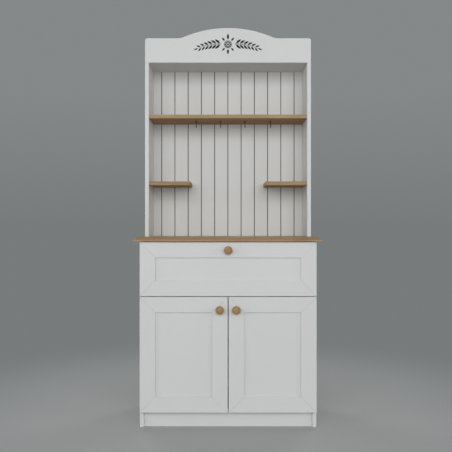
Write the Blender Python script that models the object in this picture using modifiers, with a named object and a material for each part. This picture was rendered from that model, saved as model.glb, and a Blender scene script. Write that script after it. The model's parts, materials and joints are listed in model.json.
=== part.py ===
"""Coffee bar cabinet: a base cupboard with one drawer and two doors, and a shelved hutch on its counter.

Units are metres and +Z is up. The front faces -Y. The origin is on the floor, midway between the
sides, and midway between the knob faces and the back."""

import math

import bmesh
import bpy
from mathutils import Vector

# Boards and fits
BOARD = 0.018
BACK_BOARD = 0.008
FIT_GAP = 0.0003

# Base cupboard
BASE_WIDTH = 0.800
BASE_HEIGHT = 0.842
CABINET_DEPTH = 0.400
PLINTH_HEIGHT = 0.0712
PLINTH_SETBACK = 0.010
STRETCHER_DEPTH = 0.080
INNER_SHELF_SETBACK = 0.040

# Counter
COUNTER_THICKNESS = 0.018
COUNTER_SIDE_OVERHANG = 0.025
COUNTER_FRONT_OVERHANG = 0.015
COUNTER_CHAMFER = 0.012

# Drawer front and doors
FRONT_THICKNESS = 0.018
FRONT_STANDOFF = 0.003
FRONT_REVEAL = 0.002
FRONT_GAP = 0.004
COUNTER_GAP = 0.0035
DRAWER_FRONT_HEIGHT = 0.2428
MEMBER_WIDTH = 0.070
PANEL_THICKNESS = 0.008
PANEL_RECESS = 0.007
PANEL_TONGUE = 0.008

# Knobs
KNOB_DIAMETER = 0.038
KNOB_PROJECTION = 0.028
KNOB_DOME = 0.006
KNOB_RIM = 0.004
KNOB_FOOT_DIAMETER = 0.019
KNOB_NECK_DIAMETER = 0.015
KNOB_NECK_LENGTH = 0.008
DRAWER_KNOB_DROP = 0.0365
DOOR_KNOB_DROP = 0.058

# Cup hinges
HINGE_INSET = 0.100
PIVOT_FROM_EDGE = 0.007
PIVOT_FROM_BACK = 0.00925
CUP_DIAMETER = 0.035
CUP_DEPTH = 0.0115
CUP_WALL = 0.0015
CUP_FROM_EDGE = 0.0225
CUP_RIM_WIDTH = 0.0025
CUP_RIM_THICKNESS = 0.0012
ARM_HEIGHT = 0.012
ARM_THICKNESS = 0.0105
ARM_LENGTH = 0.055
NOSE_STEP = 0.003
NOSE_PLAY = 0.0005
PLATE_HEIGHT = 0.048
PLATE_WIDTH = 0.014
PLATE_THICKNESS = 0.002
PLATE_SETBACK = 0.030

# Drawer box and runners
BOX_BOARD = 0.012
BOX_BOTTOM = 0.006
BOX_BOTTOM_RAISE = 0.010
BOX_TONGUE = 0.006
BOX_CLEAR_BELOW = 0.012
BOX_CLEAR_ABOVE = 0.024
BOX_CLEAR_BEHIND = 0.024
RUNNER_SLOT = 0.013
RUNNER_HEIGHT = 0.0455
RUNNER_WALL = 0.0012
RUNNER_PLAY = 0.0004
RUNNER_STEP = 0.002
RUNNER_SETBACK = 0.003

# Hutch
HUTCH_SETBACK = 0.204
HUTCH_SHOULDER_HEIGHT = 0.9565
HUTCH_SIDE_DROP = 0.020
CROWN_DEPTH = 0.1175
CROWN_CORNER_RADIUS = 0.011
ARCH_HALF_CHORD = 0.227
ARCH_RISE = 0.0495
ARCH_FILLET_RADIUS = 0.091
LONG_SHELF_CLEARANCE = 0.5707
SHORT_SHELF_CLEARANCE = 0.248
SHORT_SHELF_LENGTH = 0.200
GROOVE_PITCH = 0.0678
GROOVE_WIDTH = 0.0036
GROOVE_DEPTH = 0.005
GROOVE_EDGE_MARGIN = 0.020

# Cup hooks, placed across the long shelf from its middle
HOOK_PLACES = (-0.157, -0.036, 0.084, 0.211)
HOOK_SETBACK = 0.088
HOOK_WIRE = 0.0032
HOOK_DROP = 0.036
HOOK_BEND_RADIUS = 0.0085
HOOK_SWEEP = math.radians(215)
HOOK_FLANGE_DIAMETER = 0.010
HOOK_FLANGE_THICKNESS = 0.002
HOOK_SHANK_COVER = 0.006
HOOK_STEP = 0.00005

# Facets of round shapes
TURN_STEPS = 28
DOME_STEPS = 5
HOLLOW_STEPS = 4
ARCH_STEPS = 24
BEND_STEPS = 10
WIRE_RESOLUTION = 3
CORNER_STEPS = 5
FILLET_STEPS = 8
SEAM_MERGE = 0.00001

# Length of the arrows that show where a moving body turns or slides
AXIS_MARK = 0.05

# Finishes: colour, roughness, metallic
FINISHES = {
    "white_paint": ((0.665, 0.685, 0.678), 0.45, 0.0),
    "oak": ((0.36, 0.24, 0.135), 0.50, 0.0),
    "knob_wood": ((0.34, 0.21, 0.105), 0.45, 0.0),
    "drawer_wood": ((0.62, 0.56, 0.46), 0.55, 0.0),
    "black_metal": ((0.015, 0.013, 0.012), 0.40, 0.6),
    "zinc_steel": ((0.55, 0.56, 0.58), 0.32, 1.0),
}

LEFT, RIGHT = -1, 1

# Places worked out from the sizes above
BACK_Y = (CABINET_DEPTH + KNOB_PROJECTION) / 2
FRONT_Y = BACK_Y - CABINET_DEPTH
FRONT_BACK_Y = FRONT_Y + FRONT_THICKNESS
CARCASS_Y = FRONT_BACK_Y + FRONT_STANDOFF
HUTCH_Y = FRONT_Y + HUTCH_SETBACK
BACK_BOARD_Y = BACK_Y - BACK_BOARD
OUTER_X = BASE_WIDTH / 2
INNER_X = OUTER_X - BOARD
CLEAR_X = INNER_X - FIT_GAP
CLEAR_BACK_Y = BACK_BOARD_Y - FIT_GAP

FRONT_OUTER_X = OUTER_X - FRONT_REVEAL
DRAWER_TOP_Z = BASE_HEIGHT - COUNTER_GAP
DRAWER_BOTTOM_Z = DRAWER_TOP_Z - DRAWER_FRONT_HEIGHT
DOOR_TOP_Z = DRAWER_BOTTOM_Z - FRONT_GAP
DOOR_BOTTOM_Z = PLINTH_HEIGHT + FIT_GAP
DIVIDER_Z = (DRAWER_BOTTOM_Z + DOOR_TOP_Z - BOARD) / 2
BOTTOM_BOARD_TOP_Z = DOOR_BOTTOM_Z + BOARD
STRETCHER_Z = BASE_HEIGHT - BOARD

COUNTER_TOP_Z = BASE_HEIGHT + COUNTER_THICKNESS
HUTCH_FOOT_Z = COUNTER_TOP_Z + FIT_GAP
SHOULDER_Z = COUNTER_TOP_Z + HUTCH_SHOULDER_HEIGHT
CROWN_FOOT_Z = SHOULDER_Z - CROWN_DEPTH
HUTCH_TOP_Z = CROWN_FOOT_Z + BOARD

BOX_OUTER_X = INNER_X - RUNNER_SLOT
BOX_FRONT_Y = FRONT_BACK_Y + FIT_GAP
BOX_BACK_Y = BACK_BOARD_Y - BOX_CLEAR_BEHIND
BOX_FOOT_Z = DIVIDER_Z + BOARD + BOX_CLEAR_BELOW
BOX_TOP_Z = STRETCHER_Z - BOX_CLEAR_ABOVE
RUNNER_Z = (BOX_FOOT_Z + BOX_TOP_Z) / 2

PIVOT_X = FRONT_OUTER_X - PIVOT_FROM_EDGE
PIVOT_Y = FRONT_BACK_Y - PIVOT_FROM_BACK


def clear_scene():
    for obj in list(bpy.data.objects):
        bpy.data.objects.remove(obj)


def new_collection(name):
    collection = bpy.data.collections.new(name)
    bpy.context.scene.collection.children.link(collection)
    return collection


def make_finish(name):
    colour, roughness, metallic = FINISHES[name]
    material = bpy.data.materials.new(name)
    material.use_nodes = True
    shader = material.node_tree.nodes["Principled BSDF"]
    shader.inputs["Base Color"].default_value = (*colour, 1.0)
    shader.inputs["Roughness"].default_value = roughness
    shader.inputs["Metallic"].default_value = metallic
    material.diffuse_color = (*colour, 1.0)
    return material


clear_scene()
PARTS = new_collection("coffee_bar_cabinet")
CUTTERS = new_collection("cutters")
MATERIALS = {name: make_finish(name) for name in FINISHES}


def add_axis(name, location):
    """An empty that carries one moving body, on its joint's axis."""
    axis = bpy.data.objects.new(name, None)
    axis.location = location
    axis.empty_display_size = AXIS_MARK
    PARTS.objects.link(axis)
    return axis


CABINET = add_axis("cabinet_origin", (0, 0, 0))
DRAWER = add_axis("drawer_slide_axis", (0, FRONT_Y, RUNNER_Z))
RUNNERS = add_axis("runner_slide_axis", (0, CARCASS_Y, RUNNER_Z))
DOORS = {
    LEFT: add_axis("left_door_axis", (-PIVOT_X, PIVOT_Y, DOOR_BOTTOM_Z)),
    RIGHT: add_axis("right_door_axis", (PIVOT_X, PIVOT_Y, DOOR_BOTTOM_Z)),
}
SIDE_NAMES = {LEFT: "left", RIGHT: "right"}


def add_object(name, data, location, carrier, finish=None, rotation=(0, 0, 0)):
    """Links an object under its carrier, at a place given in world coordinates."""
    obj = bpy.data.objects.new(name, data)
    obj.parent = carrier
    obj.location = Vector(location) - carrier.location
    obj.rotation_euler = rotation
    if finish:
        data.materials.append(MATERIALS[finish])
    PARTS.objects.link(obj)
    return obj


def make_cutter(obj):
    PARTS.objects.unlink(obj)
    CUTTERS.objects.link(obj)
    obj.hide_render = True
    obj.display_type = "WIRE"
    return obj


def combine(obj, other, operation):
    boolean = obj.modifiers.new(other.name, "BOOLEAN")
    boolean.operation = operation
    boolean.solver = "EXACT"
    boolean.object = other


def box_mesh(name, size):
    bm = bmesh.new()
    bmesh.ops.create_cube(bm, size=1.0)
    bmesh.ops.scale(bm, vec=size, verts=bm.verts)
    mesh = bpy.data.meshes.new(name)
    bm.to_mesh(mesh)
    bm.free()
    return mesh


def add_box(name, x, y, z, carrier, finish=None):
    """A board between two coordinates on each axis."""
    size = (x[1] - x[0], y[1] - y[0], z[1] - z[0])
    centre = (sum(x) / 2, sum(y) / 2, sum(z) / 2)
    return add_object(name, box_mesh(name, size), centre, carrier, finish)


def mirrored(side, near, far):
    """The x interval from near to far on one side of the middle, in rising order."""
    return tuple(sorted((side * near, side * far)))


def add_outline(name, points, thickness, location, carrier, finish, rotation=(0, 0, 0)):
    """A flat outline given thickness about its own plane."""
    curve = bpy.data.curves.new(name, "CURVE")
    curve.dimensions = "2D"
    curve.fill_mode = "BOTH"
    curve.extrude = thickness / 2
    spline = curve.splines.new("POLY")
    spline.points.add(len(points) - 1)
    for point, (x, y) in zip(spline.points, points):
        point.co = (x, y, 0, 1)
    spline.use_cyclic_u = True
    return add_object(name, curve, location, carrier, finish, rotation)


def add_turned(name, profile, location, carrier, finish, rotation=(0, 0, 0)):
    """A turned piece about its own Z, from (radius, height) points running top to bottom."""
    mesh = bpy.data.meshes.new(name)
    points = [(radius, 0, height) for radius, height in profile]
    mesh.from_pydata(points, [(i, i + 1) for i in range(len(points) - 1)], [])
    obj = add_object(name, mesh, location, carrier, finish, rotation)
    screw = obj.modifiers.new("turn", "SCREW")
    screw.steps = TURN_STEPS
    screw.render_steps = TURN_STEPS
    screw.use_merge_vertices = True
    screw.merge_threshold = SEAM_MERGE
    screw.use_smooth_shade = True
    return obj


def add_rod_cutter(name, radius, length, centre, carrier, rotation=(0, 0, 0)):
    bm = bmesh.new()
    bmesh.ops.create_cone(
        bm, cap_ends=True, segments=TURN_STEPS, radius1=radius, radius2=radius, depth=length
    )
    mesh = bpy.data.meshes.new(name)
    bm.to_mesh(mesh)
    bm.free()
    return make_cutter(add_object(name, mesh, centre, carrier, rotation=rotation))


def arc(centre, radius, start, end, steps):
    angles = (start + (end - start) * i / steps for i in range(steps + 1))
    return [(centre[0] + radius * math.cos(a), centre[1] + radius * math.sin(a)) for a in angles]


def quarter_turn(steps):
    return [math.pi / 2 * i / steps for i in range(steps + 1)]


# Local +Z turned to face the front, and an outline stood up across or along the cabinet
FACING_FRONT = (math.pi / 2, 0, 0)
STANDING_ACROSS = (math.pi / 2, 0, 0)
STANDING_ALONG = (math.pi / 2, 0, math.pi / 2)


def build_base():
    carcass_y = (CARCASS_Y, BACK_Y)
    inside_y = (CARCASS_Y, CLEAR_BACK_Y)
    between = (-CLEAR_X, CLEAR_X)
    for side, word in SIDE_NAMES.items():
        outer = mirrored(side, INNER_X, OUTER_X)
        add_box(f"base_side_{word}", outer, carcass_y, (0, BASE_HEIGHT), CABINET, "white_paint")
    plinth_y = (CARCASS_Y + PLINTH_SETBACK, CARCASS_Y + PLINTH_SETBACK + BOARD)
    add_box("plinth", between, plinth_y, (0, PLINTH_HEIGHT), CABINET, "white_paint")
    bottom_z = (DOOR_BOTTOM_Z, BOTTOM_BOARD_TOP_Z)
    add_box("base_bottom", between, inside_y, bottom_z, CABINET, "white_paint")
    divider_z = (DIVIDER_Z, DIVIDER_Z + BOARD)
    add_box("drawer_divider", between, inside_y, divider_z, CABINET, "white_paint")
    back_z = (DOOR_BOTTOM_Z, BASE_HEIGHT)
    add_box("base_back", between, (BACK_BOARD_Y, BACK_Y), back_z, CABINET, "white_paint")
    stretcher_z = (STRETCHER_Z, BASE_HEIGHT)
    front_y = (CARCASS_Y, CARCASS_Y + STRETCHER_DEPTH)
    rear_y = (CLEAR_BACK_Y - STRETCHER_DEPTH, CLEAR_BACK_Y)
    add_box("stretcher_front", between, front_y, stretcher_z, CABINET, "white_paint")
    add_box("stretcher_rear", between, rear_y, stretcher_z, CABINET, "white_paint")
    shelf_y = (CARCASS_Y + INNER_SHELF_SETBACK, CLEAR_BACK_Y)
    shelf_foot = (BOTTOM_BOARD_TOP_Z + DIVIDER_Z - BOARD) / 2
    add_box("inner_shelf", between, shelf_y, (shelf_foot, shelf_foot + BOARD), CABINET, "white_paint")


def build_counter():
    """The counter board, with a slope along its top front edge and both top ends."""
    half = OUTER_X + COUNTER_SIDE_OVERHANG
    y = (FRONT_Y - COUNTER_FRONT_OVERHANG, BACK_Y)
    z = (BASE_HEIGHT + FIT_GAP, COUNTER_TOP_Z)
    counter = add_box("counter_top", (-half, half), y, z, CABINET, "oak")
    bm = bmesh.new()
    bm.from_mesh(counter.data)
    top = max(vert.co.z for vert in bm.verts)
    back = max(vert.co.y for vert in bm.verts)
    sloped = [
        edge
        for edge in bm.edges
        if all(vert.co.z == top for vert in edge.verts)
        and not all(vert.co.y == back for vert in edge.verts)
    ]
    bmesh.ops.bevel(bm, geom=sloped, offset=COUNTER_CHAMFER, segments=1, affect="EDGES")
    bm.to_mesh(counter.data)
    bm.free()


def add_member(name, x, z, mitres, carrier):
    """A frame member cut at each (corner, normal) mitre, where the normal points off the member."""
    size = (x[1] - x[0], FRONT_THICKNESS, z[1] - z[0])
    centre = Vector((sum(x) / 2, (FRONT_Y + FRONT_BACK_Y) / 2, sum(z) / 2))
    bm = bmesh.new()
    bmesh.ops.create_cube(bm, size=1.0)
    bmesh.ops.scale(bm, vec=size, verts=bm.verts)
    for corner, normal in mitres:
        normal = Vector((normal[0], 0, normal[1])).normalized()
        point = Vector((corner[0], centre.y, corner[1])) - centre - normal * FIT_GAP / 2
        geometry = bm.verts[:] + bm.edges[:] + bm.faces[:]
        bmesh.ops.bisect_plane(bm, geom=geometry, plane_co=point, plane_no=normal, clear_outer=True)
        bmesh.ops.holes_fill(bm, edges=[edge for edge in bm.edges if edge.is_boundary])
    bmesh.ops.recalc_face_normals(bm, faces=bm.faces)
    mesh = bpy.data.meshes.new(name)
    bm.to_mesh(mesh)
    bm.free()
    return add_object(name, mesh, centre, carrier, "white_paint")


def build_framed_front(prefix, x, z, carrier):
    """Four mitred members round a panel that sits in a groove. Returns the members by name."""
    inner_x = (x[0] + MEMBER_WIDTH, x[1] - MEMBER_WIDTH)
    inner_z = (z[0] + MEMBER_WIDTH, z[1] - MEMBER_WIDTH)
    members = {}
    for word, low, high, corner_x, across in (
        ("left_stile", x[0], inner_x[0], x[0], 1),
        ("right_stile", inner_x[1], x[1], x[1], -1),
    ):
        mitres = [((corner_x, z[1]), (across, 1)), ((corner_x, z[0]), (across, -1))]
        members[word] = add_member(f"{prefix}_{word}", (low, high), z, mitres, carrier)
    for word, low, high, corner_z, up in (
        ("bottom_rail", z[0], inner_z[0], z[0], 1),
        ("top_rail", inner_z[1], z[1], z[1], -1),
    ):
        mitres = [((x[0], corner_z), (-1, up)), ((x[1], corner_z), (1, up))]
        members[word] = add_member(f"{prefix}_{word}", x, (low, high), mitres, carrier)
    panel_x = (inner_x[0] - PANEL_TONGUE, inner_x[1] + PANEL_TONGUE)
    panel_z = (inner_z[0] - PANEL_TONGUE, inner_z[1] + PANEL_TONGUE)
    panel_y = (FRONT_Y + PANEL_RECESS, FRONT_Y + PANEL_RECESS + PANEL_THICKNESS)
    add_box(f"{prefix}_panel", panel_x, panel_y, panel_z, carrier, "white_paint")
    groove = [(low - FIT_GAP, high + FIT_GAP) for low, high in (panel_x, panel_y, panel_z)]
    cutter = make_cutter(add_box(f"{prefix}_panel_groove", *groove, carrier))
    for member in members.values():
        combine(member, cutter, "DIFFERENCE")
    return members


def build_knob(name, x, z, carrier):
    """A turned wooden knob: domed face, thin rim, hollowed underside, neck and foot."""
    radius = KNOB_DIAMETER / 2
    neck = KNOB_NECK_DIAMETER / 2
    rim_top = KNOB_PROJECTION - KNOB_DOME
    rim_foot = rim_top - KNOB_RIM
    hollow = rim_foot - KNOB_NECK_LENGTH
    dome = [
        (radius * math.sin(turn), rim_top + KNOB_DOME * math.cos(turn))
        for turn in quarter_turn(DOME_STEPS)
    ]
    under = [
        (neck + (radius - neck) * math.cos(turn), rim_foot - hollow * math.sin(turn))
        for turn in quarter_turn(HOLLOW_STEPS)
    ]
    foot = KNOB_FOOT_DIAMETER / 2
    profile = dome + under + [(foot, FIT_GAP), (0, FIT_GAP)]
    add_turned(name, profile, (x, FRONT_Y, z), carrier, "knob_wood", FACING_FRONT)


def build_hinge(word, side, z, stile):
    """A cup let into the door stile, and the arm on the side board whose nose reaches into the cup."""
    door = DOORS[side]
    centre_x = side * (FRONT_OUTER_X - CUP_FROM_EDGE)
    outer = CUP_DIAMETER / 2
    inner = outer - CUP_WALL
    rim = outer + CUP_RIM_WIDTH
    rim_top = FIT_GAP + CUP_RIM_THICKNESS
    profile = [
        (0, CUP_WALL - CUP_DEPTH),
        (inner, CUP_WALL - CUP_DEPTH),
        (inner, rim_top),
        (rim, rim_top),
        (rim, FIT_GAP),
        (outer, FIT_GAP),
        (outer, -CUP_DEPTH),
        (0, -CUP_DEPTH),
    ]
    facing_back = (-math.pi / 2, 0, 0)
    place = (centre_x, FRONT_BACK_Y, z)
    add_turned(f"{word}_hinge_cup", profile, place, door, "zinc_steel", facing_back)
    bore = add_rod_cutter(
        f"{word}_cup_bore",
        outer + FIT_GAP,
        2 * (CUP_DEPTH + FIT_GAP),
        place,
        door,
        FACING_FRONT,
    )
    combine(stile, bore, "DIFFERENCE")

    arm_far = CLEAR_X - ARM_THICKNESS
    arm_y = (CARCASS_Y, CARCASS_Y + ARM_LENGTH)
    arm_z = (z - ARM_HEIGHT / 2, z + ARM_HEIGHT / 2)
    arm = add_box(f"{word}_hinge_arm", mirrored(side, arm_far, CLEAR_X), arm_y, arm_z, CABINET, "zinc_steel")
    nose_x = mirrored(side, arm_far, CLEAR_X - NOSE_STEP)
    nose_y = (FRONT_BACK_Y - CUP_DEPTH + CUP_WALL + NOSE_PLAY, CARCASS_Y + NOSE_STEP)
    nose_z = (arm_z[0] + NOSE_STEP / 2, arm_z[1] - NOSE_STEP / 2)
    plate_x = mirrored(side, CLEAR_X - PLATE_THICKNESS, CLEAR_X)
    plate_y = (CARCASS_Y + PLATE_SETBACK, CARCASS_Y + PLATE_SETBACK + PLATE_WIDTH)
    plate_z = (z - PLATE_HEIGHT / 2, z + PLATE_HEIGHT / 2)
    for part, x, y, height in (("nose", nose_x, nose_y, nose_z), ("plate", plate_x, plate_y, plate_z)):
        piece = make_cutter(add_box(f"{word}_hinge_{part}", x, y, height, CABINET))
        combine(arm, piece, "UNION")


def build_doors():
    for side, word in SIDE_NAMES.items():
        x = mirrored(side, FRONT_GAP / 2, FRONT_OUTER_X)
        z = (DOOR_BOTTOM_Z, DOOR_TOP_Z)
        members = build_framed_front(f"{word}_door", x, z, DOORS[side])
        knob_x = side * (FRONT_GAP + MEMBER_WIDTH) / 2
        build_knob(f"{word}_door_knob", knob_x, DOOR_TOP_Z - DOOR_KNOB_DROP, DOORS[side])
        hinge_stile = members[f"{word}_stile"]
        build_hinge(f"{word}_upper", side, DOOR_TOP_Z - HINGE_INSET, hinge_stile)
        build_hinge(f"{word}_lower", side, DOOR_BOTTOM_Z + HINGE_INSET, hinge_stile)


def build_drawer():
    front_x = (-FRONT_OUTER_X, FRONT_OUTER_X)
    build_framed_front("drawer_front", front_x, (DRAWER_BOTTOM_Z, DRAWER_TOP_Z), DRAWER)
    build_knob("drawer_knob", 0, DRAWER_TOP_Z - DRAWER_KNOB_DROP, DRAWER)

    inside_x = BOX_OUTER_X - BOX_BOARD
    box_y = (BOX_FRONT_Y, BOX_BACK_Y)
    box_z = (BOX_FOOT_Z, BOX_TOP_Z)
    between = (FIT_GAP - inside_x, inside_x - FIT_GAP)
    walls = [
        add_box("drawer_box_left", (-BOX_OUTER_X, -inside_x), box_y, box_z, DRAWER, "drawer_wood"),
        add_box("drawer_box_right", (inside_x, BOX_OUTER_X), box_y, box_z, DRAWER, "drawer_wood"),
    ]
    for word, y in (
        ("front", (BOX_FRONT_Y, BOX_FRONT_Y + BOX_BOARD)),
        ("back", (BOX_BACK_Y - BOX_BOARD, BOX_BACK_Y)),
    ):
        walls.append(add_box(f"drawer_box_{word}", between, y, box_z, DRAWER, "drawer_wood"))
    tongue = BOX_BOARD - BOX_TONGUE
    bottom_x = (tongue - BOX_OUTER_X, BOX_OUTER_X - tongue)
    bottom_y = (BOX_FRONT_Y + tongue, BOX_BACK_Y - tongue)
    bottom_z = (BOX_FOOT_Z + BOX_BOTTOM_RAISE, BOX_FOOT_Z + BOX_BOTTOM_RAISE + BOX_BOTTOM)
    add_box("drawer_box_bottom", bottom_x, bottom_y, bottom_z, DRAWER, "drawer_wood")
    groove = [(low - FIT_GAP, high + FIT_GAP) for low, high in (bottom_x, bottom_y, bottom_z)]
    cutter = make_cutter(add_box("drawer_bottom_groove", *groove, DRAWER))
    for wall in walls:
        combine(wall, cutter, "DIFFERENCE")


def add_channel(name, web, lip, half_height, carrier):
    """A C section along the drawer: its web at x = web, its two flanges reaching to x = lip."""
    inward = math.copysign(RUNNER_WALL, lip - web)
    inside = half_height - RUNNER_WALL
    section = [
        (web, -half_height),
        (lip, -half_height),
        (lip, -inside),
        (web + inward, -inside),
        (web + inward, inside),
        (lip, inside),
        (lip, half_height),
        (web, half_height),
    ]
    y = (CARCASS_Y + RUNNER_SETBACK, BOX_BACK_Y)
    place = (0, sum(y) / 2, RUNNER_Z)
    add_outline(name, section, y[1] - y[0], place, carrier, "zinc_steel", STANDING_ACROSS)


def build_runners():
    """Three nested channels a side: on the cabinet, between, and on the drawer."""
    nesting = RUNNER_WALL + RUNNER_PLAY
    half = RUNNER_HEIGHT / 2
    for side, word in SIDE_NAMES.items():
        cabinet_web = CLEAR_X
        drawer_web = BOX_OUTER_X + FIT_GAP
        middle_web = cabinet_web - nesting
        cabinet_lip = drawer_web + 2 * RUNNER_STEP
        middle_lip = drawer_web + RUNNER_STEP
        drawer_lip = middle_web - nesting
        for role, web, lip, height, carrier in (
            ("cabinet", cabinet_web, cabinet_lip, half, CABINET),
            ("middle", middle_web, middle_lip, half - nesting, RUNNERS),
            ("drawer", drawer_web, drawer_lip, half - 2 * nesting, DRAWER),
        ):
            add_channel(f"runner_{role}_{word}", side * web, side * lip, height, carrier)


def crown_outline():
    """The crown board's outline, from its foot: square foot, rounded shoulders, low arch with fillets."""
    radius = (ARCH_HALF_CHORD**2 + ARCH_RISE**2) / (2 * ARCH_RISE)
    arch_centre = (0, CROWN_DEPTH + ARCH_RISE - radius)
    fillet_z = CROWN_DEPTH + ARCH_FILLET_RADIUS
    rise = fillet_z - arch_centre[1]
    fillet_x = math.sqrt((radius + ARCH_FILLET_RADIUS) ** 2 - rise**2)
    lean = math.atan2(rise, fillet_x)
    corner = (OUTER_X - CROWN_CORNER_RADIUS, CROWN_DEPTH - CROWN_CORNER_RADIUS)
    right = [(OUTER_X, 0)]
    right += arc(corner, CROWN_CORNER_RADIUS, 0, math.pi / 2, CORNER_STEPS)
    right += arc((fillet_x, fillet_z), ARCH_FILLET_RADIUS, -math.pi / 2, lean - math.pi, FILLET_STEPS)
    arch = arc(arch_centre, radius, lean, math.pi - lean, ARCH_STEPS)
    left = [(-x, z) for x, z in reversed(right)]
    return right + arch[1:-1] + left


def build_hutch():
    side_top = SHOULDER_Z - HUTCH_SIDE_DROP
    crown_back_y = HUTCH_Y + BOARD
    notch_y = crown_back_y + FIT_GAP
    notch_z = CROWN_FOOT_Z - FIT_GAP
    side_outline = [
        (HUTCH_Y, HUTCH_FOOT_Z),
        (BACK_Y, HUTCH_FOOT_Z),
        (BACK_Y, side_top),
        (notch_y, side_top),
        (notch_y, notch_z),
        (HUTCH_Y, notch_z),
    ]
    for side, word in SIDE_NAMES.items():
        place = (side * (INNER_X + BOARD / 2), 0, 0)
        add_outline(
            f"hutch_side_{word}", side_outline, BOARD, place, CABINET, "white_paint", STANDING_ALONG
        )
    crown_place = (0, HUTCH_Y + BOARD / 2, CROWN_FOOT_Z)
    add_outline(
        "crown_board", crown_outline(), BOARD, crown_place, CABINET, "white_paint", STANDING_ACROSS
    )
    between = (-CLEAR_X, CLEAR_X)
    top_z = (CROWN_FOOT_Z, HUTCH_TOP_Z)
    add_box("hutch_top", between, (notch_y, CLEAR_BACK_Y), top_z, CABINET, "white_paint")

    shelf_y = (HUTCH_Y, CLEAR_BACK_Y)
    short_foot = COUNTER_TOP_Z + SHORT_SHELF_CLEARANCE
    short_z = (short_foot, short_foot + BOARD)
    for side, word in SIDE_NAMES.items():
        x = mirrored(side, CLEAR_X - SHORT_SHELF_LENGTH, CLEAR_X)
        add_box(f"short_shelf_{word}", x, shelf_y, short_z, CABINET, "oak")
    long_foot = COUNTER_TOP_Z + LONG_SHELF_CLEARANCE
    long_shelf = add_box("long_shelf", between, shelf_y, (long_foot, long_foot + BOARD), CABINET, "oak")
    build_hooks(long_shelf, long_foot)


def build_grooved_back():
    """The hutch back, with square grooves spread both ways from one in the middle."""
    count = int((CLEAR_X - GROOVE_EDGE_MARGIN) / GROOVE_PITCH)
    half = GROOVE_WIDTH / 2
    outline = [(CLEAR_X, BACK_BOARD), (-CLEAR_X, BACK_BOARD), (-CLEAR_X, 0)]
    for i in range(-count, count + 1):
        x = i * GROOVE_PITCH
        outline += [(x - half, 0), (x - half, GROOVE_DEPTH), (x + half, GROOVE_DEPTH), (x + half, 0)]
    outline.append((CLEAR_X, 0))
    height = HUTCH_TOP_Z - HUTCH_FOOT_Z
    place = (0, BACK_BOARD_Y, (HUTCH_FOOT_Z + HUTCH_TOP_Z) / 2)
    add_outline("hutch_back", outline, height, place, CABINET, "white_paint")


def hook_path():
    """(y, z, diameter) along a hook from the tip of its shank: shank, flange, stem and round bend."""
    shank_top = BOARD - HOOK_SHANK_COVER
    flange_foot = -FIT_GAP - HOOK_FLANGE_THICKNESS
    path = [
        (0, shank_top, HOOK_WIRE),
        (0, HOOK_STEP - FIT_GAP, HOOK_WIRE),
        (0, -FIT_GAP, HOOK_FLANGE_DIAMETER),
        (0, flange_foot, HOOK_FLANGE_DIAMETER),
        (0, flange_foot - HOOK_STEP, HOOK_WIRE),
    ]
    bend_z = HOOK_BEND_RADIUS + HOOK_WIRE / 2 - HOOK_DROP
    bend = arc((-HOOK_BEND_RADIUS, bend_z), HOOK_BEND_RADIUS, 0, -HOOK_SWEEP, BEND_STEPS)
    return path + [(y, z, HOOK_WIRE) for y, z in bend]


def build_hooks(shelf, shelf_foot):
    """Cup hooks screwed up into the long shelf, each opening to the front."""
    y = HUTCH_Y + HOOK_SETBACK
    path = hook_path()
    bore_depth = BOARD - HOOK_SHANK_COVER + FIT_GAP
    for number, x in enumerate(HOOK_PLACES, start=1):
        curve = bpy.data.curves.new(f"cup_hook_{number}", "CURVE")
        curve.dimensions = "3D"
        curve.bevel_depth = HOOK_WIRE / 2
        curve.bevel_resolution = WIRE_RESOLUTION
        curve.use_fill_caps = True
        spline = curve.splines.new("POLY")
        spline.points.add(len(path) - 1)
        spline.use_smooth = True
        for point, (along, up, diameter) in zip(spline.points, path):
            point.co = (0, along, up, 1)
            point.radius = diameter / HOOK_WIRE
        add_object(f"cup_hook_{number}", curve, (x, y, shelf_foot), CABINET, "black_metal")
        bore = add_rod_cutter(
            f"hook_bore_{number}",
            HOOK_WIRE / 2 + FIT_GAP,
            2 * bore_depth,
            (x, y, shelf_foot),
            CABINET,
        )
        combine(shelf, bore, "DIFFERENCE")


build_base()
build_counter()
build_drawer()
build_runners()
build_doors()
build_hutch()
build_grooved_back()
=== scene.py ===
# %% [markdown]
# # A coffee bar cabinet, dressed
#
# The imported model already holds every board, door, runner and hinge at its real size and place.
# This lesson gives them their looks: satin white paint, oak-colour laminate, turned wooden knobs,
# pale ply, zinc-plated steel and black coated wire. It then adds the fittings that are too small
# for the model: screws, panel pins, shelf pins, bumpers, hinge links and the ornament on the crown.
# Lengths are in metres, the cabinet stands on z = 0, and its doors look along -Y.

# %% Load the frame
import json
import math

import bmesh
import bpy
from mathutils import Matrix, Vector


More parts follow.
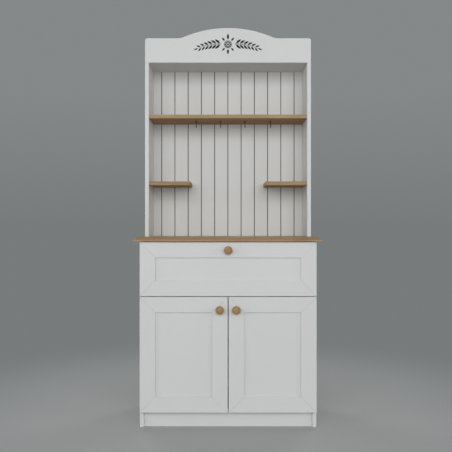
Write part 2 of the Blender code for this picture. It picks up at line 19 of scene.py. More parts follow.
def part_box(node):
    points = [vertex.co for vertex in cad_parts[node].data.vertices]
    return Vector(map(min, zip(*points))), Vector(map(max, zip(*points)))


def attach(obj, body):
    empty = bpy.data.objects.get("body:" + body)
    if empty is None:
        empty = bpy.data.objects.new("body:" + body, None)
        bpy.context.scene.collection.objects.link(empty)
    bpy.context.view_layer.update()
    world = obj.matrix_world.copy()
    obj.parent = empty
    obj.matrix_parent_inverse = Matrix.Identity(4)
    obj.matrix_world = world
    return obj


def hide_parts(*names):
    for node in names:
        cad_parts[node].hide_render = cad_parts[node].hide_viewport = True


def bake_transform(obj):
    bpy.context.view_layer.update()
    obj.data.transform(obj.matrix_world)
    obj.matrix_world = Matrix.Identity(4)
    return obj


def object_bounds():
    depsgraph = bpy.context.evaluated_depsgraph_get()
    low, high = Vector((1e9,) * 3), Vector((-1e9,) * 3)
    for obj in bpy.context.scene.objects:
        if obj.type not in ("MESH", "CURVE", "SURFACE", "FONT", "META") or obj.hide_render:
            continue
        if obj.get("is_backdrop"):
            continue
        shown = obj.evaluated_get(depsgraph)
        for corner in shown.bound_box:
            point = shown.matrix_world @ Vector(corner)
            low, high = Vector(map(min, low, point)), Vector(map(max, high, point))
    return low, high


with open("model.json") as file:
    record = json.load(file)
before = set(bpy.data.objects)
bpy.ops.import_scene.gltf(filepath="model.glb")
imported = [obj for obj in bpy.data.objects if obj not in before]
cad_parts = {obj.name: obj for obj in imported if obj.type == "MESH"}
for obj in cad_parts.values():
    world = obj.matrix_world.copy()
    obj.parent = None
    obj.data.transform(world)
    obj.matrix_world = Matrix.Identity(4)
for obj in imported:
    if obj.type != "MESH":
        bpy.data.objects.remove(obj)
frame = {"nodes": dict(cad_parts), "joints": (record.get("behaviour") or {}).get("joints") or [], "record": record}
cad_low, cad_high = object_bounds()
nodes = frame["nodes"]
record = frame["record"]
slot_of = {part["node"]: part["material_slot"] for part in record["subparts"]}
body_of = {node: body for body, members in record["behaviour"]["bodies"].items() for node in members}
SIDES = {"left": -1, "right": 1}

# %% [markdown]
# ## The camera
# The cabinet is seen square from the front, a little above its counter, so upright edges stay upright and
# a plain level camera is enough. Its distance could be guessed from a common lens. It comes instead from
# how much narrower the set-back hutch looks than the doors, because that can be measured. It is counted
# from the door faces, which carry the scale.

# %% Camera
EYE_DISTANCE = 2.8235
EYE_HEIGHT = 0.911
EYE_SIDE = -0.0096
LENS_MM = 50.0
QUARTER_TURN = math.pi / 2

door_face_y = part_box("left_door_top_rail")[0].y
camera = bpy.data.objects.new("front_camera", bpy.data.cameras.new("front_camera"))
camera.data.lens = LENS_MM
camera.location = (EYE_SIDE, door_face_y - EYE_DISTANCE, EYE_HEIGHT)
camera.rotation_euler = (QUARTER_TURN, 0, 0)
bpy.context.scene.collection.objects.link(camera)
bpy.context.scene.camera = camera
bpy.context.scene.view_settings.view_transform = "Standard"
print("camera at", [round(value, 3) for value in camera.location])

# %% [markdown]
# ## Helpers for shader trees
# A finish is a small graph of nodes. It could be drawn by hand in the shader editor, but a graph that is
# written down can be built again with other values. One helper adds a node and fills its sockets from
# values or from other nodes, so that a graph reads from top to bottom. The others are the steps that most
# finishes repeat: a sum, a mix of two colours, and a value moved into another range.

# %% Node helpers
def feed(tree, socket, value):
    """Links a socket to another node's output, or sets it to a plain value."""
    if isinstance(value, bpy.types.NodeSocket):
        tree.links.new(value, socket)
    else:
        socket.default_value = value


def fill(tree, node, inputs):
    """Feeds several sockets of a node, each found by its name or number."""
    for name, value in inputs.items():
        feed(tree, node.inputs[name], value)


def add_node(tree, kind, inputs=None, **settings):
    """A new node with its settings made and its sockets fed."""
    node = tree.nodes.new(f"ShaderNode{kind}")
    for name, value in settings.items():
        setattr(node, name, value)
    fill(tree, node, inputs or {})
    return node


def maths(tree, operation, first, second=0.0):
    return add_node(tree, "Math", {0: first, 1: second}, operation=operation).outputs[0]


def mix_colour(tree, factor, first, second, blend="MIX"):
    """Mixes two colours. The node has sockets of other kinds too, so the colours are picked by type."""
    node = add_node(tree, "Mix", {0: factor}, data_type="RGBA", blend_type=blend)
    colours = [socket for socket in node.inputs if socket.type == "RGBA"]
    feed(tree, colours[0], first)
    feed(tree, colours[1], second)
    return next(socket for socket in node.outputs if socket.type == "RGBA")


def spread(tree, value, given, wanted=(0.0, 1.0), **settings):
    """Moves a value from one range to another, and clamps it there."""
    inputs = {"Value": value, "From Min": given[0], "From Max": given[1]}
    node = add_node(tree, "MapRange", inputs, **settings)
    fill(tree, node, {"To Min": wanted[0], "To Max": wanted[1]})
    return node.outputs["Result"]


print("node helpers ready")

# %% [markdown]
# ## The floor
# The floor is a plain pale disc, wide enough for a camera on any side. A studio sweep that curves up behind
# the cabinet would hide it from the cameras there, so the disc stays flat. Away from the cabinet it fades
# to the grey that the backdrop has at the horizon, and no line shows there.

# %% Floor
BACKDROP_LOW = (0.188, 0.200, 0.203, 1.0)
FLOOR_COLOUR = (0.46, 0.466, 0.466, 1.0)
FLOOR_ROUGHNESS = 0.9
FLOOR_SHEEN = 0.1
FLOOR_RADIUS = 16.0
FLOOR_SIDES = 96
FLOOR_FADE = (0.5, 2.2)
FLOOR_DROP = 0.0002


def new_finish(name):
    """A new material, its node tree, and the shader that it starts with."""
    material = bpy.data.materials.new(name)
    material.use_nodes = True
    tree = material.node_tree
    return material, tree, tree.nodes["Principled BSDF"]


def own_space(tree):
    """A piece's own coordinates, in metres, which stay on it when it moves."""
    return add_node(tree, "TexCoord").outputs["Object"]


def make_floor_finish():
    material, tree, shader = new_finish("studio_floor")
    plain = {"Base Color": FLOOR_COLOUR, "Roughness": FLOOR_ROUGHNESS, "Specular IOR Level": FLOOR_SHEEN}
    fill(tree, shader, plain)
    away = add_node(tree, "VectorMath", {0: own_space(tree)}, operation="LENGTH").outputs["Value"]
    fade = spread(tree, away, FLOOR_FADE, interpolation_type="SMOOTHERSTEP")
    glow = add_node(tree, "Emission", {"Color": BACKDROP_LOW}).outputs[0]
    blend = add_node(tree, "MixShader", {0: fade, 1: shader.outputs[0], 2: glow})
    tree.links.new(blend.outputs[0], tree.nodes["Material Output"].inputs["Surface"])
    return material


def make_floor():
    bm = bmesh.new()
    bmesh.ops.create_circle(bm, cap_ends=True, segments=FLOOR_SIDES, radius=FLOOR_RADIUS)
    mesh = bpy.data.meshes.new("studio_floor")
    bm.to_mesh(mesh)
    bm.free()
    mesh.materials.append(make_floor_finish())
    floor = bpy.data.objects.new("studio_floor", mesh)
    floor.location.z = cad_low.z - FLOOR_DROP
    bpy.context.scene.collection.objects.link(floor)
    floor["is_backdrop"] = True


make_floor()
print("floor radius", FLOOR_RADIUS, "m")

# %% [markdown]
# ## Backdrop and soft light
# Behind the cabinet lies an even grey that grows a shade lighter upwards. A wall could carry it, but a wall
# would stand in the way of cameras on the other sides, so the world itself is the backdrop. Only the camera
# and glossy or clear surfaces see that grey, and Light Path tells their rays from the rest. The light that
# the world sheds on the object is a separate, plain level.

# %% World
BACKDROP_HIGH = (0.232, 0.247, 0.250, 1.0)
BACKDROP_RISE = 0.20
AMBIENT = 0.24
LIGHT_TINT = (0.98, 1.0, 1.0)


def component(tree, vector, axis):
    """One of the three numbers of a vector."""
    return add_node(tree, "SeparateXYZ", {0: vector}).outputs[axis]


def make_world():
    world = bpy.data.worlds.new("studio_world")
    world.use_nodes = True
    tree = world.node_tree
    soft = tree.nodes["Background"]
    fill(tree, soft, {"Color": (*LIGHT_TINT, 1.0), "Strength": AMBIENT})
    height = component(tree, add_node(tree, "TexCoord").outputs["Generated"], "Z")
    rise = spread(tree, height, (0.0, BACKDROP_RISE))
    seen = add_node(tree, "Background", {"Color": mix_colour(tree, rise, BACKDROP_LOW, BACKDROP_HIGH)})
    path = add_node(tree, "LightPath").outputs
    direct = maths(tree, "MAXIMUM", path["Is Camera Ray"], path["Is Glossy Ray"])
    direct = maths(tree, "MAXIMUM", direct, path["Is Transmission Ray"])
    blend = add_node(tree, "MixShader", {0: direct, 1: soft.outputs[0], 2: seen.outputs[0]})
    tree.links.new(blend.outputs[0], tree.nodes["World Output"].inputs["Surface"])
    bpy.context.scene.world = world


make_world()
print("ambient level", AMBIENT)

# %% [markdown]
# ## Lamps
# The fronts are lit evenly from foot to crown, the recess of the hutch stays bright to its back, and the
# shadows under the shelves are soft. A small lamp would not do that, so one of the size of a shop window
# stands behind the eye. A weaker lamp on each side brightens the inside of the side boards, and two behind
# keep the back readable. The light is a touch cool. A lamp's power grows with the square of its distance,
# so each is given the level it should reach instead.

# %% Lamps
AIM = Vector((0.0, 0.0, 0.95))
WATTS_FOR_LEVEL = math.pi**2
LAMPS = {  # name: place, (width, height), level
    "front_lamp": ((0.0, -5.0, 2.2), (6.4, 2.8), 0.578),
    "left_lamp": ((-4.5, -2.2, 1.5), (2.0, 2.6), 0.168),
    "right_lamp": ((4.5, -2.2, 1.5), (2.0, 2.6), 0.148),
    "rear_left_lamp": ((-2.6, 3.6, 2.2), (2.0, 2.0), 0.20),
    "rear_right_lamp": ((2.6, 3.6, 2.2), (2.0, 2.0), 0.20),
}


def add_lamp(name, place, size, level):
    ray = AIM - Vector(place)
    lamp = bpy.data.lights.new(name, "AREA")
    lamp.shape = "RECTANGLE"
    lamp.color = LIGHT_TINT
    lamp.size, lamp.size_y = size
    lamp.energy = level * WATTS_FOR_LEVEL * ray.length_squared
    obj = bpy.data.objects.new(name, lamp)
    obj.location = place
    obj.rotation_euler = ray.to_track_quat("-Z", "Y").to_euler()
    obj.visible_camera = False
    bpy.context.scene.collection.objects.link(obj)
    print(name, round(lamp.energy, 1), "W")


for name, (place, size, level) in LAMPS.items():
    add_lamp(name, place, size, level)

# %% [markdown]
# ## Soft clouds, a shared effect
# Paint, plastic and plated metal are never one even colour: they drift a little from place to place. Each
# finish could have its own noise for that. A node group does it once for all of them: it takes a colour and
# puts it out again with soft clouds of a given size and strength.

# %% Cloud group
NOISE_BAND = (0.3, 0.7)
CLOUD_DETAIL = 4.0


def new_group(name, inputs, outputs):
    """A node group with (name, kind, default) inputs and (name, kind) outputs, and its two end nodes."""
    group = bpy.data.node_groups.new(name, "ShaderNodeTree")
    for label, kind, default in inputs:
        socket = group.interface.new_socket(label, in_out="INPUT", socket_type=f"NodeSocket{kind}")
        if default is not None:
            socket.default_value = default
    for label, kind in outputs:
        group.interface.new_socket(label, in_out="OUTPUT", socket_type=f"NodeSocket{kind}")
    return group, group.nodes.new("NodeGroupInput").outputs, group.nodes.new("NodeGroupOutput")


def place_group(tree, group, inputs):
    node = tree.nodes.new("ShaderNodeGroup")
    node.node_tree = group
    fill(tree, node, inputs)
    return node.outputs


def noise(tree, vector, scale, detail=3.0, distortion=0.0):
    """Soft random patches, mostly between 0.3 and 0.7."""
    inputs = {"Vector": vector, "Scale": scale, "Detail": detail, "Distortion": distortion}
    return add_node(tree, "TexNoise", inputs).outputs["Fac"]


def make_clouds():
    """Makes a colour lighter and darker by up to an amount."""
    group, given, made = new_group(
        "soft_clouds",
        [
            ("Vector", "Vector", None),
            ("Color", "Color", None),
            ("Scale", "Float", 5.0),
            ("Amount", "Float", 0.05),
        ],
        [("Color", "Color")],
    )
    cloud = noise(group, given["Vector"], given["Scale"], CLOUD_DETAIL)
    level = spread(group, cloud, NOISE_BAND, (-1.0, 1.0))
    gain = maths(group, "ADD", maths(group, "MULTIPLY", level, given["Amount"]), 1.0)
    tint = add_node(group, "CombineColor", {0: gain, 1: gain, 2: gain}).outputs[0]
    fill(group, made, {"Color": mix_colour(group, 1.0, given["Color"], tint, "MULTIPLY")})
    return group


soft_clouds = make_clouds()
print("group", soft_clouds.name)

# %% [markdown]
# ## Wood grain, a shared effect
# Oak laminate, turned knobs and ply differ in tone and scale, but all show a broad figure, fine fibres along
# the grain and short dark pores. A picture of wood would repeat the same marks on every board, so the grain
# is made of stretched noise in a second group. It runs along the group's own X, and a finish turns its
# coordinates before it places the group.

# %% Grain group
FIGURE_STRETCH = (0.10, 1.0, 1.0)
FIGURE_BEND = 1.2
FIGURE_RINGS = 6.0
FIBRE_STRETCH = (0.018, 1.0, 1.0)
FIBRE_DETAIL = 2.0
RING_SHARE = 0.55
FIBRE_SHARE = 0.6
STREAK_BAND = (0.2, 0.95)
PORE_FINENESS = 1.7
PORE_BAND = (0.62, 0.72)
PORE_TINT = (0.5, 0.46, 0.42, 1.0)


def stretched(tree, vector, scale):
    return add_node(tree, "Mapping", {"Vector": vector, "Scale": scale}).outputs["Vector"]


def make_grain():
    """A wood's colour between a light and a dark tone, its height, and its fibres alone."""
    group, given, made = new_group(
        "wood_grain",
        [
            ("Vector", "Vector", None),
            ("Light", "Color", None),
            ("Dark", "Color", None),
            ("Figure Scale", "Float", 14.0),
            ("Fibre Scale", "Float", 420.0),
            ("Pores", "Float", 0.5),
        ],
        [("Color", "Color"), ("Height", "Float"), ("Fibre", "Float")],
    )
    drawn = stretched(group, given["Vector"], FIGURE_STRETCH)
    figure = noise(group, drawn, given["Figure Scale"], distortion=FIGURE_BEND)
    rings = maths(group, "PINGPONG", maths(group, "MULTIPLY", figure, FIGURE_RINGS), 1.0)
    threads = stretched(group, given["Vector"], FIBRE_STRETCH)
    fibre = noise(group, threads, given["Fibre Scale"], FIBRE_DETAIL)
    ring_part = maths(group, "MULTIPLY", rings, RING_SHARE)
    streak = maths(group, "ADD", ring_part, maths(group, "MULTIPLY", fibre, FIBRE_SHARE))
    body = mix_colour(group, spread(group, streak, STREAK_BAND), given["Light"], given["Dark"])
    pore_scale = maths(group, "MULTIPLY", given["Fibre Scale"], PORE_FINENESS)
    pore = spread(group, noise(group, threads, pore_scale), PORE_BAND)
    pore_mask = maths(group, "MULTIPLY", pore, given["Pores"])
    pore_colour = mix_colour(group, 1.0, given["Dark"], PORE_TINT, "MULTIPLY")
    height = maths(group, "SUBTRACT", fibre, pore_mask)
    fill(group, made, {"Color": mix_colour(group, pore_mask, body, pore_colour)})
    fill(group, made, {"Height": height, "Fibre": fibre})
    return group


wood_grain = make_grain()
print("group", wood_grain.name)

# %% [markdown]
# ## White paint
# The boards are sprayed with a satin white. Sprayed paint dries with a very fine orange peel. That is far
# too fine to model, so a small bump from noise gives it, and a second noise lets the sheen drift a little
# across a board. The colour is a clean white, only just on the warm side. It stays below full white, so
# that light can still shape it.

# %% White paint
WHITE = (0.7155, 0.713, 0.7058, 1.0)
PAINT_CLOUDS = {"Scale": 3.5, "Amount": 0.012}
PAINT_SHEEN = 0.4
PAINT_ROUGHNESS = (0.40, 0.50)
DRIFT_SCALE = 22.0
PEEL_SCALE = 750.0
PEEL_DETAIL = 1.0
PEEL_STRENGTH = 0.35
PEEL_DEPTH = 0.00004


def add_bump(tree, shader, height, strength, depth):
    bump = add_node(tree, "Bump", {"Height": height, "Strength": strength, "Distance": depth})
    feed(tree, shader.inputs["Normal"], bump.outputs[0])


def start_white_paint(name):
    """Satin white on a new finish. Also returns its coordinates and colour, for what goes over it."""
    material, tree, shader = new_finish(name)
    space = own_space(tree)
    clouds = place_group(tree, soft_clouds, {"Vector": space, "Color": WHITE, **PAINT_CLOUDS})
    roughness = spread(tree, noise(tree, space, DRIFT_SCALE), NOISE_BAND, PAINT_ROUGHNESS)
    fill(tree, shader, {"Base Color": clouds["Color"], "Roughness": roughness})
    shader.inputs["Specular IOR Level"].default_value = PAINT_SHEEN
    add_bump(tree, shader, noise(tree, space, PEEL_SCALE, PEEL_DETAIL), PEEL_STRENGTH, PEEL_DEPTH)
    return material, tree, shader, space, clouds["Color"]


white_paint = start_white_paint("white_paint")[0]
print("made", white_paint.name)

# %% [markdown]
# ## Paint on the back boards
# The two back boards carry the same paint on their faces. Their grooves get a painted shade: a near-black
# colour that stands in for the shadow deep in them. Their backs have only a thin, speckled primer. Separate
# materials on separate faces could do that, but the imported mesh stays as it is. So the finish finds both
# places from a piece's own coordinates: how deep a point lies below the face, and which way its surface looks.

# %% Back board paint
# The grooves' near-black colour is painted shade: it stands in for the shadow deep in them.
PAINTED_GROOVE_SHADE = (0.030, 0.030, 0.029, 1.0)
PRIMER = (0.56, 0.55, 0.52, 1.0)
PRIMER_FLECK = (0.47, 0.44, 0.40, 1.0)
FLECK_SCALE = 600.0
FLECK_DETAIL = 4.0
FLECK_BAND = (0.55, 0.72)
PAINT_SKIN = 0.00015
ASIDE = 0.5


def facing(tree, axis):
    """How far a surface looks along one of its piece's own axes, from -1 to 1."""
    return component(tree, add_node(tree, "TexCoord").outputs["Normal"], axis)


def looks_aside(tree, axis):
    """1 where a surface looks neither along an axis nor against it, and 0 elsewhere."""
    return maths(tree, "LESS_THAN", maths(tree, "ABSOLUTE", facing(tree, axis)), ASIDE)


def make_back_paint(face_y, back_y):
    """White paint with painted shade in its grooves, and bare primer on the back."""
    material, tree, shader, space, colour = start_white_paint("back_board_paint")
    depth = component(tree, space, "Y")
    below = maths(tree, "GREATER_THAN", depth, face_y + PAINT_SKIN)
    groove = maths(tree, "MULTIPLY", below, looks_aside(tree, "Z"))
    fleck = spread(tree, noise(tree, space, FLECK_SCALE, FLECK_DETAIL), FLECK_BAND)
    behind = maths(tree, "GREATER_THAN", depth, back_y - PAINT_SKIN)
    primer = mix_colour(tree, fleck, PRIMER, PRIMER_FLECK)
    # Painted shade: surfaces deeper than the face, except those that look up or down, take the dark colour.
    colour = mix_colour(tree, groove, colour, PAINTED_GROOVE_SHADE)
    feed(tree, shader.inputs["Base Color"], mix_colour(tree, behind, colour, primer))
    return material


back_paint = make_back_paint(*(corner.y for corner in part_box("hutch_back")))
print("made", back_paint.name)

# %% [markdown]
# ## Turned wood
# The knobs are turned from a wood darker than the boards, and its grain runs slantwise through them. Every
# wood here is the grain group with its own tones and scales, so one function starts them all, and the later
# ones only change the colour where an edge shows.

# %% Knob wood
KNOB_LIGHT = (0.47, 0.30, 0.138, 1.0)
KNOB_DARK = (0.31, 0.18, 0.075, 1.0)
KNOB_GRAIN = {"Figure Scale": 60.0, "Fibre Scale": 700.0, "Pores": 0.4}
KNOB_ROUGHNESS = 0.42
KNOB_SHEEN = 0.28
SLANTWISE = (0.0, 0.6, 0.0)
WOOD_PATCHINESS = 0.06
FIBRE_STRENGTH = 0.25
FIBRE_DEPTH = 0.0001


def start_wood(name, light, dark, grain, turn, roughness, sheen):
    """A wood whose grain follows X once its coordinates are turned. Also returns its colour."""
    material, tree, shader = new_finish(name)
    along = add_node(tree, "Mapping", {"Vector": own_space(tree), "Rotation": turn}).outputs["Vector"]
    figured = place_group(tree, wood_grain, {"Vector": along, "Light": light, "Dark": dark, **grain})
    patches = (roughness - WOOD_PATCHINESS, roughness + WOOD_PATCHINESS)
    patchy = spread(tree, figured["Fibre"], NOISE_BAND, patches)
    fill(tree, shader, {"Base Color": figured["Color"], "Roughness": patchy})
    shader.inputs["Specular IOR Level"].default_value = sheen
    add_bump(tree, shader, figured["Height"], FIBRE_STRENGTH, FIBRE_DEPTH)
    return material, tree, shader, figured["Color"]


knob_wood = start_wood(
    "knob_wood", KNOB_LIGHT, KNOB_DARK, KNOB_GRAIN, SLANTWISE, KNOB_ROUGHNESS, KNOB_SHEEN
)[0]
print("made", knob_wood.name)

# %% [markdown]
# ## Oak-colour laminate
# The counter and shelves are boards faced with an oak-colour laminate whose grain runs along them. Their
# front edges carry a band of a paler tone, palest on the long shelf. The counter is lacquered, so its top
# mirrors the white behind it at a low angle, while the shelves stay dull. The band could be a thin strip of
# its own. A finish that turns paler on the faces that look to the front shows the same.

# %% Oak
OAK_LIGHT = (0.443, 0.276, 0.137)
OAK_DARK = (0.317, 0.181, 0.080)
OAK_GRAIN = {"Figure Scale": 16.0, "Fibre Scale": 420.0, "Pores": 0.55}
PLAIN_TONE = (1.0, 1.0, 1.0)
COUNTER_TONE = (0.925, 0.935, 0.85)
SHELF_BAND = (1.08, 1.19, 1.40, 1.0)
PALE_BAND = (1.20, 1.40, 1.72, 1.0)
COUNTER_BAND = (1.17, 1.09, 1.18, 1.0)
DULL = {"roughness": 0.60, "sheen": 0.12}
LACQUERED = {"roughness": 0.34, "sheen": 0.45}
ALONG_X = (0.0, 0.0, 0.0)
TO_FRONT = -0.9


def toned(shade, tone):
    """A colour with each of its three parts multiplied by a gain."""
    return (*(part * gain for part, gain in zip(shade, tone)), 1.0)


def make_oak(name, tone, band, surface):
    """Oak laminate in a tone of its own, with an edge band on the faces that look to the front."""
    light, dark = toned(OAK_LIGHT, tone), toned(OAK_DARK, tone)
    material, tree, shader, colour = start_wood(name, light, dark, OAK_GRAIN, ALONG_X, **surface)
    front = maths(tree, "LESS_THAN", facing(tree, "Y"), TO_FRONT)
    banded = mix_colour(tree, 1.0, colour, band, "MULTIPLY")
    feed(tree, shader.inputs["Base Color"], mix_colour(tree, front, colour, banded))
    return material


oak = make_oak("oak_laminate", PLAIN_TONE, SHELF_BAND, DULL)
long_oak = make_oak("oak_with_pale_band", PLAIN_TONE, PALE_BAND, DULL)
counter_oak = make_oak("lacquered_oak", COUNTER_TONE, COUNTER_BAND, LACQUERED)
print("made", oak.name, long_oak.name, counter_oak.name)

# %% [markdown]
# ## Ply
# The drawer box is pale ply. Its faces have a quiet grain, and its cut edges show the layers as fine stripes
# through the thickness. The layers could be modelled as thin sheets, but nobody would see more of them than
# the stripes. The boards lie three ways, so each way has its own finish: where its grain runs, and which
# axis goes through the layers.

# %% Ply
PLY_LIGHT = (0.66, 0.54, 0.39, 1.0)
PLY_DARK = (0.56, 0.43, 0.29, 1.0)
PLY_STRIPE = (0.34, 0.23, 0.13, 1.0)
PLY_GRAIN = {"Figure Scale": 7.0, "Fibre Scale": 300.0, "Pores": 0.2}
PLY_ROUGHNESS = 0.5
PLY_SHEEN = 0.28
PLY_LAYER = 0.0012
STRIPE_BAND = (0.35, 0.65)
ALONG_Y = (0.0, 0.0, QUARTER_TURN)


def make_ply(name, turn, through):
    """Pale ply with layers along one axis, shown on the faces that don't look along it."""
    material, tree, shader, colour = start_wood(
        name, PLY_LIGHT, PLY_DARK, PLY_GRAIN, turn, PLY_ROUGHNESS, PLY_SHEEN
    )
    place = component(tree, own_space(tree), through)
    layer = maths(tree, "PINGPONG", maths(tree, "DIVIDE", place, PLY_LAYER), 1.0)
    stripes = mix_colour(tree, spread(tree, layer, STRIPE_BAND), PLY_LIGHT, PLY_STRIPE)
    striped = mix_colour(tree, looks_aside(tree, through), colour, stripes)
    feed(tree, shader.inputs["Base Color"], striped)
    return material


ply_side = make_ply("ply_side", ALONG_Y, "X")
ply_cross = make_ply("ply_cross", ALONG_X, "Y")
ply_bottom = make_ply("ply_bottom", ALONG_X, "Z")
print("made", ply_side.name, ply_cross.name, ply_bottom.name)

# %% [markdown]
# ## Zinc-plated steel
# Hinges, runners and screws are bright zinc over pressed steel: a soft metal with faint drawing lines and a
# patchy sheen. A plain metal would look like a mirror. Noise stretched along the drawing direction breaks
# that up, both in the roughness and as a very shallow bump.

# %% Zinc
ZINC = (0.56, 0.57, 0.585, 1.0)
ZINC_CLOUDS = {"Scale": 60.0, "Amount": 0.10}
ZINC_ROUGHNESS = (0.26, 0.44)
LINE_STRETCH = (1.0, 0.02, 1.0)
LINE_SCALE = 1400.0
LINE_DETAIL = 2.0
LINE_BAND = (0.25, 0.75)
LINE_STRENGTH = 0.15
LINE_DEPTH = 0.00005


def make_zinc():
    material, tree, shader = new_finish("zinc_steel")
    space = own_space(tree)
    clouds = place_group(tree, soft_clouds, {"Vector": space, "Color": ZINC, **ZINC_CLOUDS})
    lines = noise(tree, stretched(tree, space, LINE_STRETCH), LINE_SCALE, LINE_DETAIL)
    roughness = spread(tree, lines, LINE_BAND, ZINC_ROUGHNESS)
    fill(tree, shader, {"Base Color": clouds["Color"], "Roughness": roughness, "Metallic": 1.0})
    add_bump(tree, shader, lines, LINE_STRENGTH, LINE_DEPTH)
    return material


zinc_steel = make_zinc()
print("made", zinc_steel.name)

# %% [markdown]
# ## Coats and plastics
# The cup hooks are wire with a black coat. The crown's ornament is a matt charcoal film, the bumpers are
# clear-white soft plastic, and the levers of the runners are dark plastic. All four are one colour with a
# fine skin, so one function makes them, and only the sheen and the size of the skin differ.

# %% Coats
COAT_CLOUDS = {"Scale": 30.0, "Amount": 0.08}
SKIN_DETAIL = 2.0
SKIN_STRENGTH = 0.3
BLACK = (0.008, 0.0075, 0.007, 1.0)
CHARCOAL = (0.020, 0.019, 0.019, 1.0)
BUMPER_WHITE = (0.72, 0.72, 0.70, 1.0)
LEVER_GREY = (0.030, 0.031, 0.033, 1.0)


def make_coat(name, colour, sheen, roughness, skin):
    """A coat of one colour whose sheen varies, with a fine skin of some (scale, depth)."""
    material, tree, shader = new_finish(name)
    space = own_space(tree)
    clouds = place_group(tree, soft_clouds, {"Vector": space, "Color": colour, **COAT_CLOUDS})
    scale, depth = skin
    grains = noise(tree, space, scale, SKIN_DETAIL)
    dulled = spread(tree, grains, NOISE_BAND, roughness)
    fill(tree, shader, {"Base Color": clouds["Color"], "Roughness": dulled})
    shader.inputs["Specular IOR Level"].default_value = sheen
    add_bump(tree, shader, grains, SKIN_STRENGTH, depth)
    return material


black_coat = make_coat("black_coat", BLACK, sheen=0.15, roughness=(0.34, 0.48), skin=(1500.0, 0.00003))
charcoal_film = make_coat(
    "charcoal_film", CHARCOAL, sheen=0.2, roughness=(0.55, 0.70), skin=(900.0, 0.00002)
)
soft_plastic = make_coat(
    "soft_plastic", BUMPER_WHITE, sheen=0.4, roughness=(0.35, 0.45), skin=(500.0, 0.00002)
)
lever_plastic = make_coat(
    "lever_plastic", LEVER_GREY, sheen=0.4, roughness=(0.40, 0.55), skin=(700.0, 0.00003)
)
print("made", black_coat.name, charcoal_film.name, soft_plastic.name, lever_plastic.name)

# %% [markdown]
# ## Soft edges
# Real edges are never sharp: paint and edge band round them by about a millimetre, and that thin rounding is
# what catches the light along a board. It could be modelled into every board. A bevel modifier does it
# without touching the model's own mesh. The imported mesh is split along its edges, so it is welded and its
# flat faces are joined first.

# %% Soft edges
WELD_DISTANCE = 0.00001
FLAT_ANGLE = math.radians(0.5)
EDGE_ANGLE = math.radians(40)
EDGE_STEPS = 2


def soften(obj, width):
    """Rounds the edges of a piece with modifiers, and keeps its flat faces flat."""
    weld = obj.modifiers.new("weld", "WELD")
    weld.merge_threshold = WELD_DISTANCE
    flats = obj.modifiers.new("flats", "DECIMATE")
    flats.decimate_type = "DISSOLVE"
    flats.angle_limit = FLAT_ANGLE
    edge = obj.modifiers.new("edge", "BEVEL")
    edge.width = width
    edge.segments = EDGE_STEPS
    edge.limit_method = "ANGLE"
    edge.angle_limit = EDGE_ANGLE
    obj.modifiers.new("shading", "WEIGHTED_NORMAL").keep_sharp = True


print("edges turned by more than", round(math.degrees(EDGE_ANGLE)), "degrees will be rounded")

# %% [markdown]
# ## Finishes on the boards
# The record names a material slot for each node, and most nodes take the finish of their slot. Each could
# be dressed by hand, but a table says it in fewer words. A few nodes differ from their slot: the counter,
# the long shelf, the back boards and some of the drawer box. The frame members, the crown and the hutch's
# sides get the finest edges, so that the joints between them read as a thin line in the paint.

# %% Finishes on the boards
ROUNDING = {"white_paint": 0.0010, "oak": 0.0008, "drawer_wood": 0.0006, "zinc_steel": 0.0003}
FINE_ROUNDING = 0.0004
FINE_EDGED = ("_stile", "_rail", "crown_board", "hutch_side_left", "hutch_side_right")
FINISH_OF_SLOT = {
    "white_paint": white_paint,
    "oak": oak,
    "knob_wood": knob_wood,
    "drawer_wood": ply_cross,
    "black_metal": black_coat,
    "zinc_steel": zinc_steel,
}
FINISH_OF_NODE = {
    "counter_top": counter_oak,
    "long_shelf": long_oak,
    "drawer_box_left": ply_side,
    "drawer_box_right": ply_side,
    "drawer_box_bottom": ply_bottom,
    "hutch_back": back_paint,
    "base_back": back_paint,
}

for name, obj in nodes.items():
    slot = slot_of[name]
    obj.data.materials.clear()
    obj.data.materials.append(FINISH_OF_NODE.get(name, FINISH_OF_SLOT[slot]))
    if slot in ROUNDING:
        soften(obj, FINE_ROUNDING if name.endswith(FINE_EDGED) else ROUNDING[slot])
print("dressed", len(nodes), "nodes")

# %% [markdown]
# ## Helpers for turned pieces
# Small fittings are drawn with bmesh, Blender's kit for building a mesh point by point. A Screw modifier
# could spin the turned ones. Spinning a profile in bmesh gives the finished mesh at once, which can be
# copied, cut or joined. The last helper makes a piece of a mesh: it gives it a name, a finish and a body.

# %% Turned pieces
MERGE = 0.000001
SMOOTH_ANGLE = math.radians(35)


def arc(centre, radius, start, end, steps):
    """Points (x, y) along an arc, both ends included."""
    angles = [start + (end - start) * i / steps for i in range(steps + 1)]
    return [(centre[0] + radius * math.cos(a), centre[1] + radius * math.sin(a)) for a in angles]


def added(bm, before):
    """The points that came into a bmesh since it held the ones given."""
    return [vert for vert in bm.verts if vert not in before]


def add_turned(bm, profile, steps, place=Matrix()):
    """Spins (radius, height) points about Z into a closed solid."""
    before = set(bm.verts)
    line = [bm.verts.new((radius, 0.0, height)) for radius, height in profile]
    edges = [bm.edges.new(pair) for pair in zip(line, line[1:])]
    bmesh.ops.spin(bm, geom=line + edges, axis=(0, 0, 1), cent=(0, 0, 0), steps=steps, angle=math.tau)
    bmesh.ops.remove_doubles(bm, verts=added(bm, before), dist=MERGE)
    bmesh.ops.transform(bm, matrix=place, verts=added(bm, before))


def as_mesh(bm, name):
    bmesh.ops.recalc_face_normals(bm, faces=bm.faces)
    mesh = bpy.data.meshes.new(name)
    bm.to_mesh(mesh)
    bm.free()
    return mesh


def solid(maker, *arguments):
    """A mesh made by a single call of one of the helpers that add to a bmesh."""
    bm = bmesh.new()
    maker(bm, *arguments)
    return as_mesh(bm, maker.__name__)


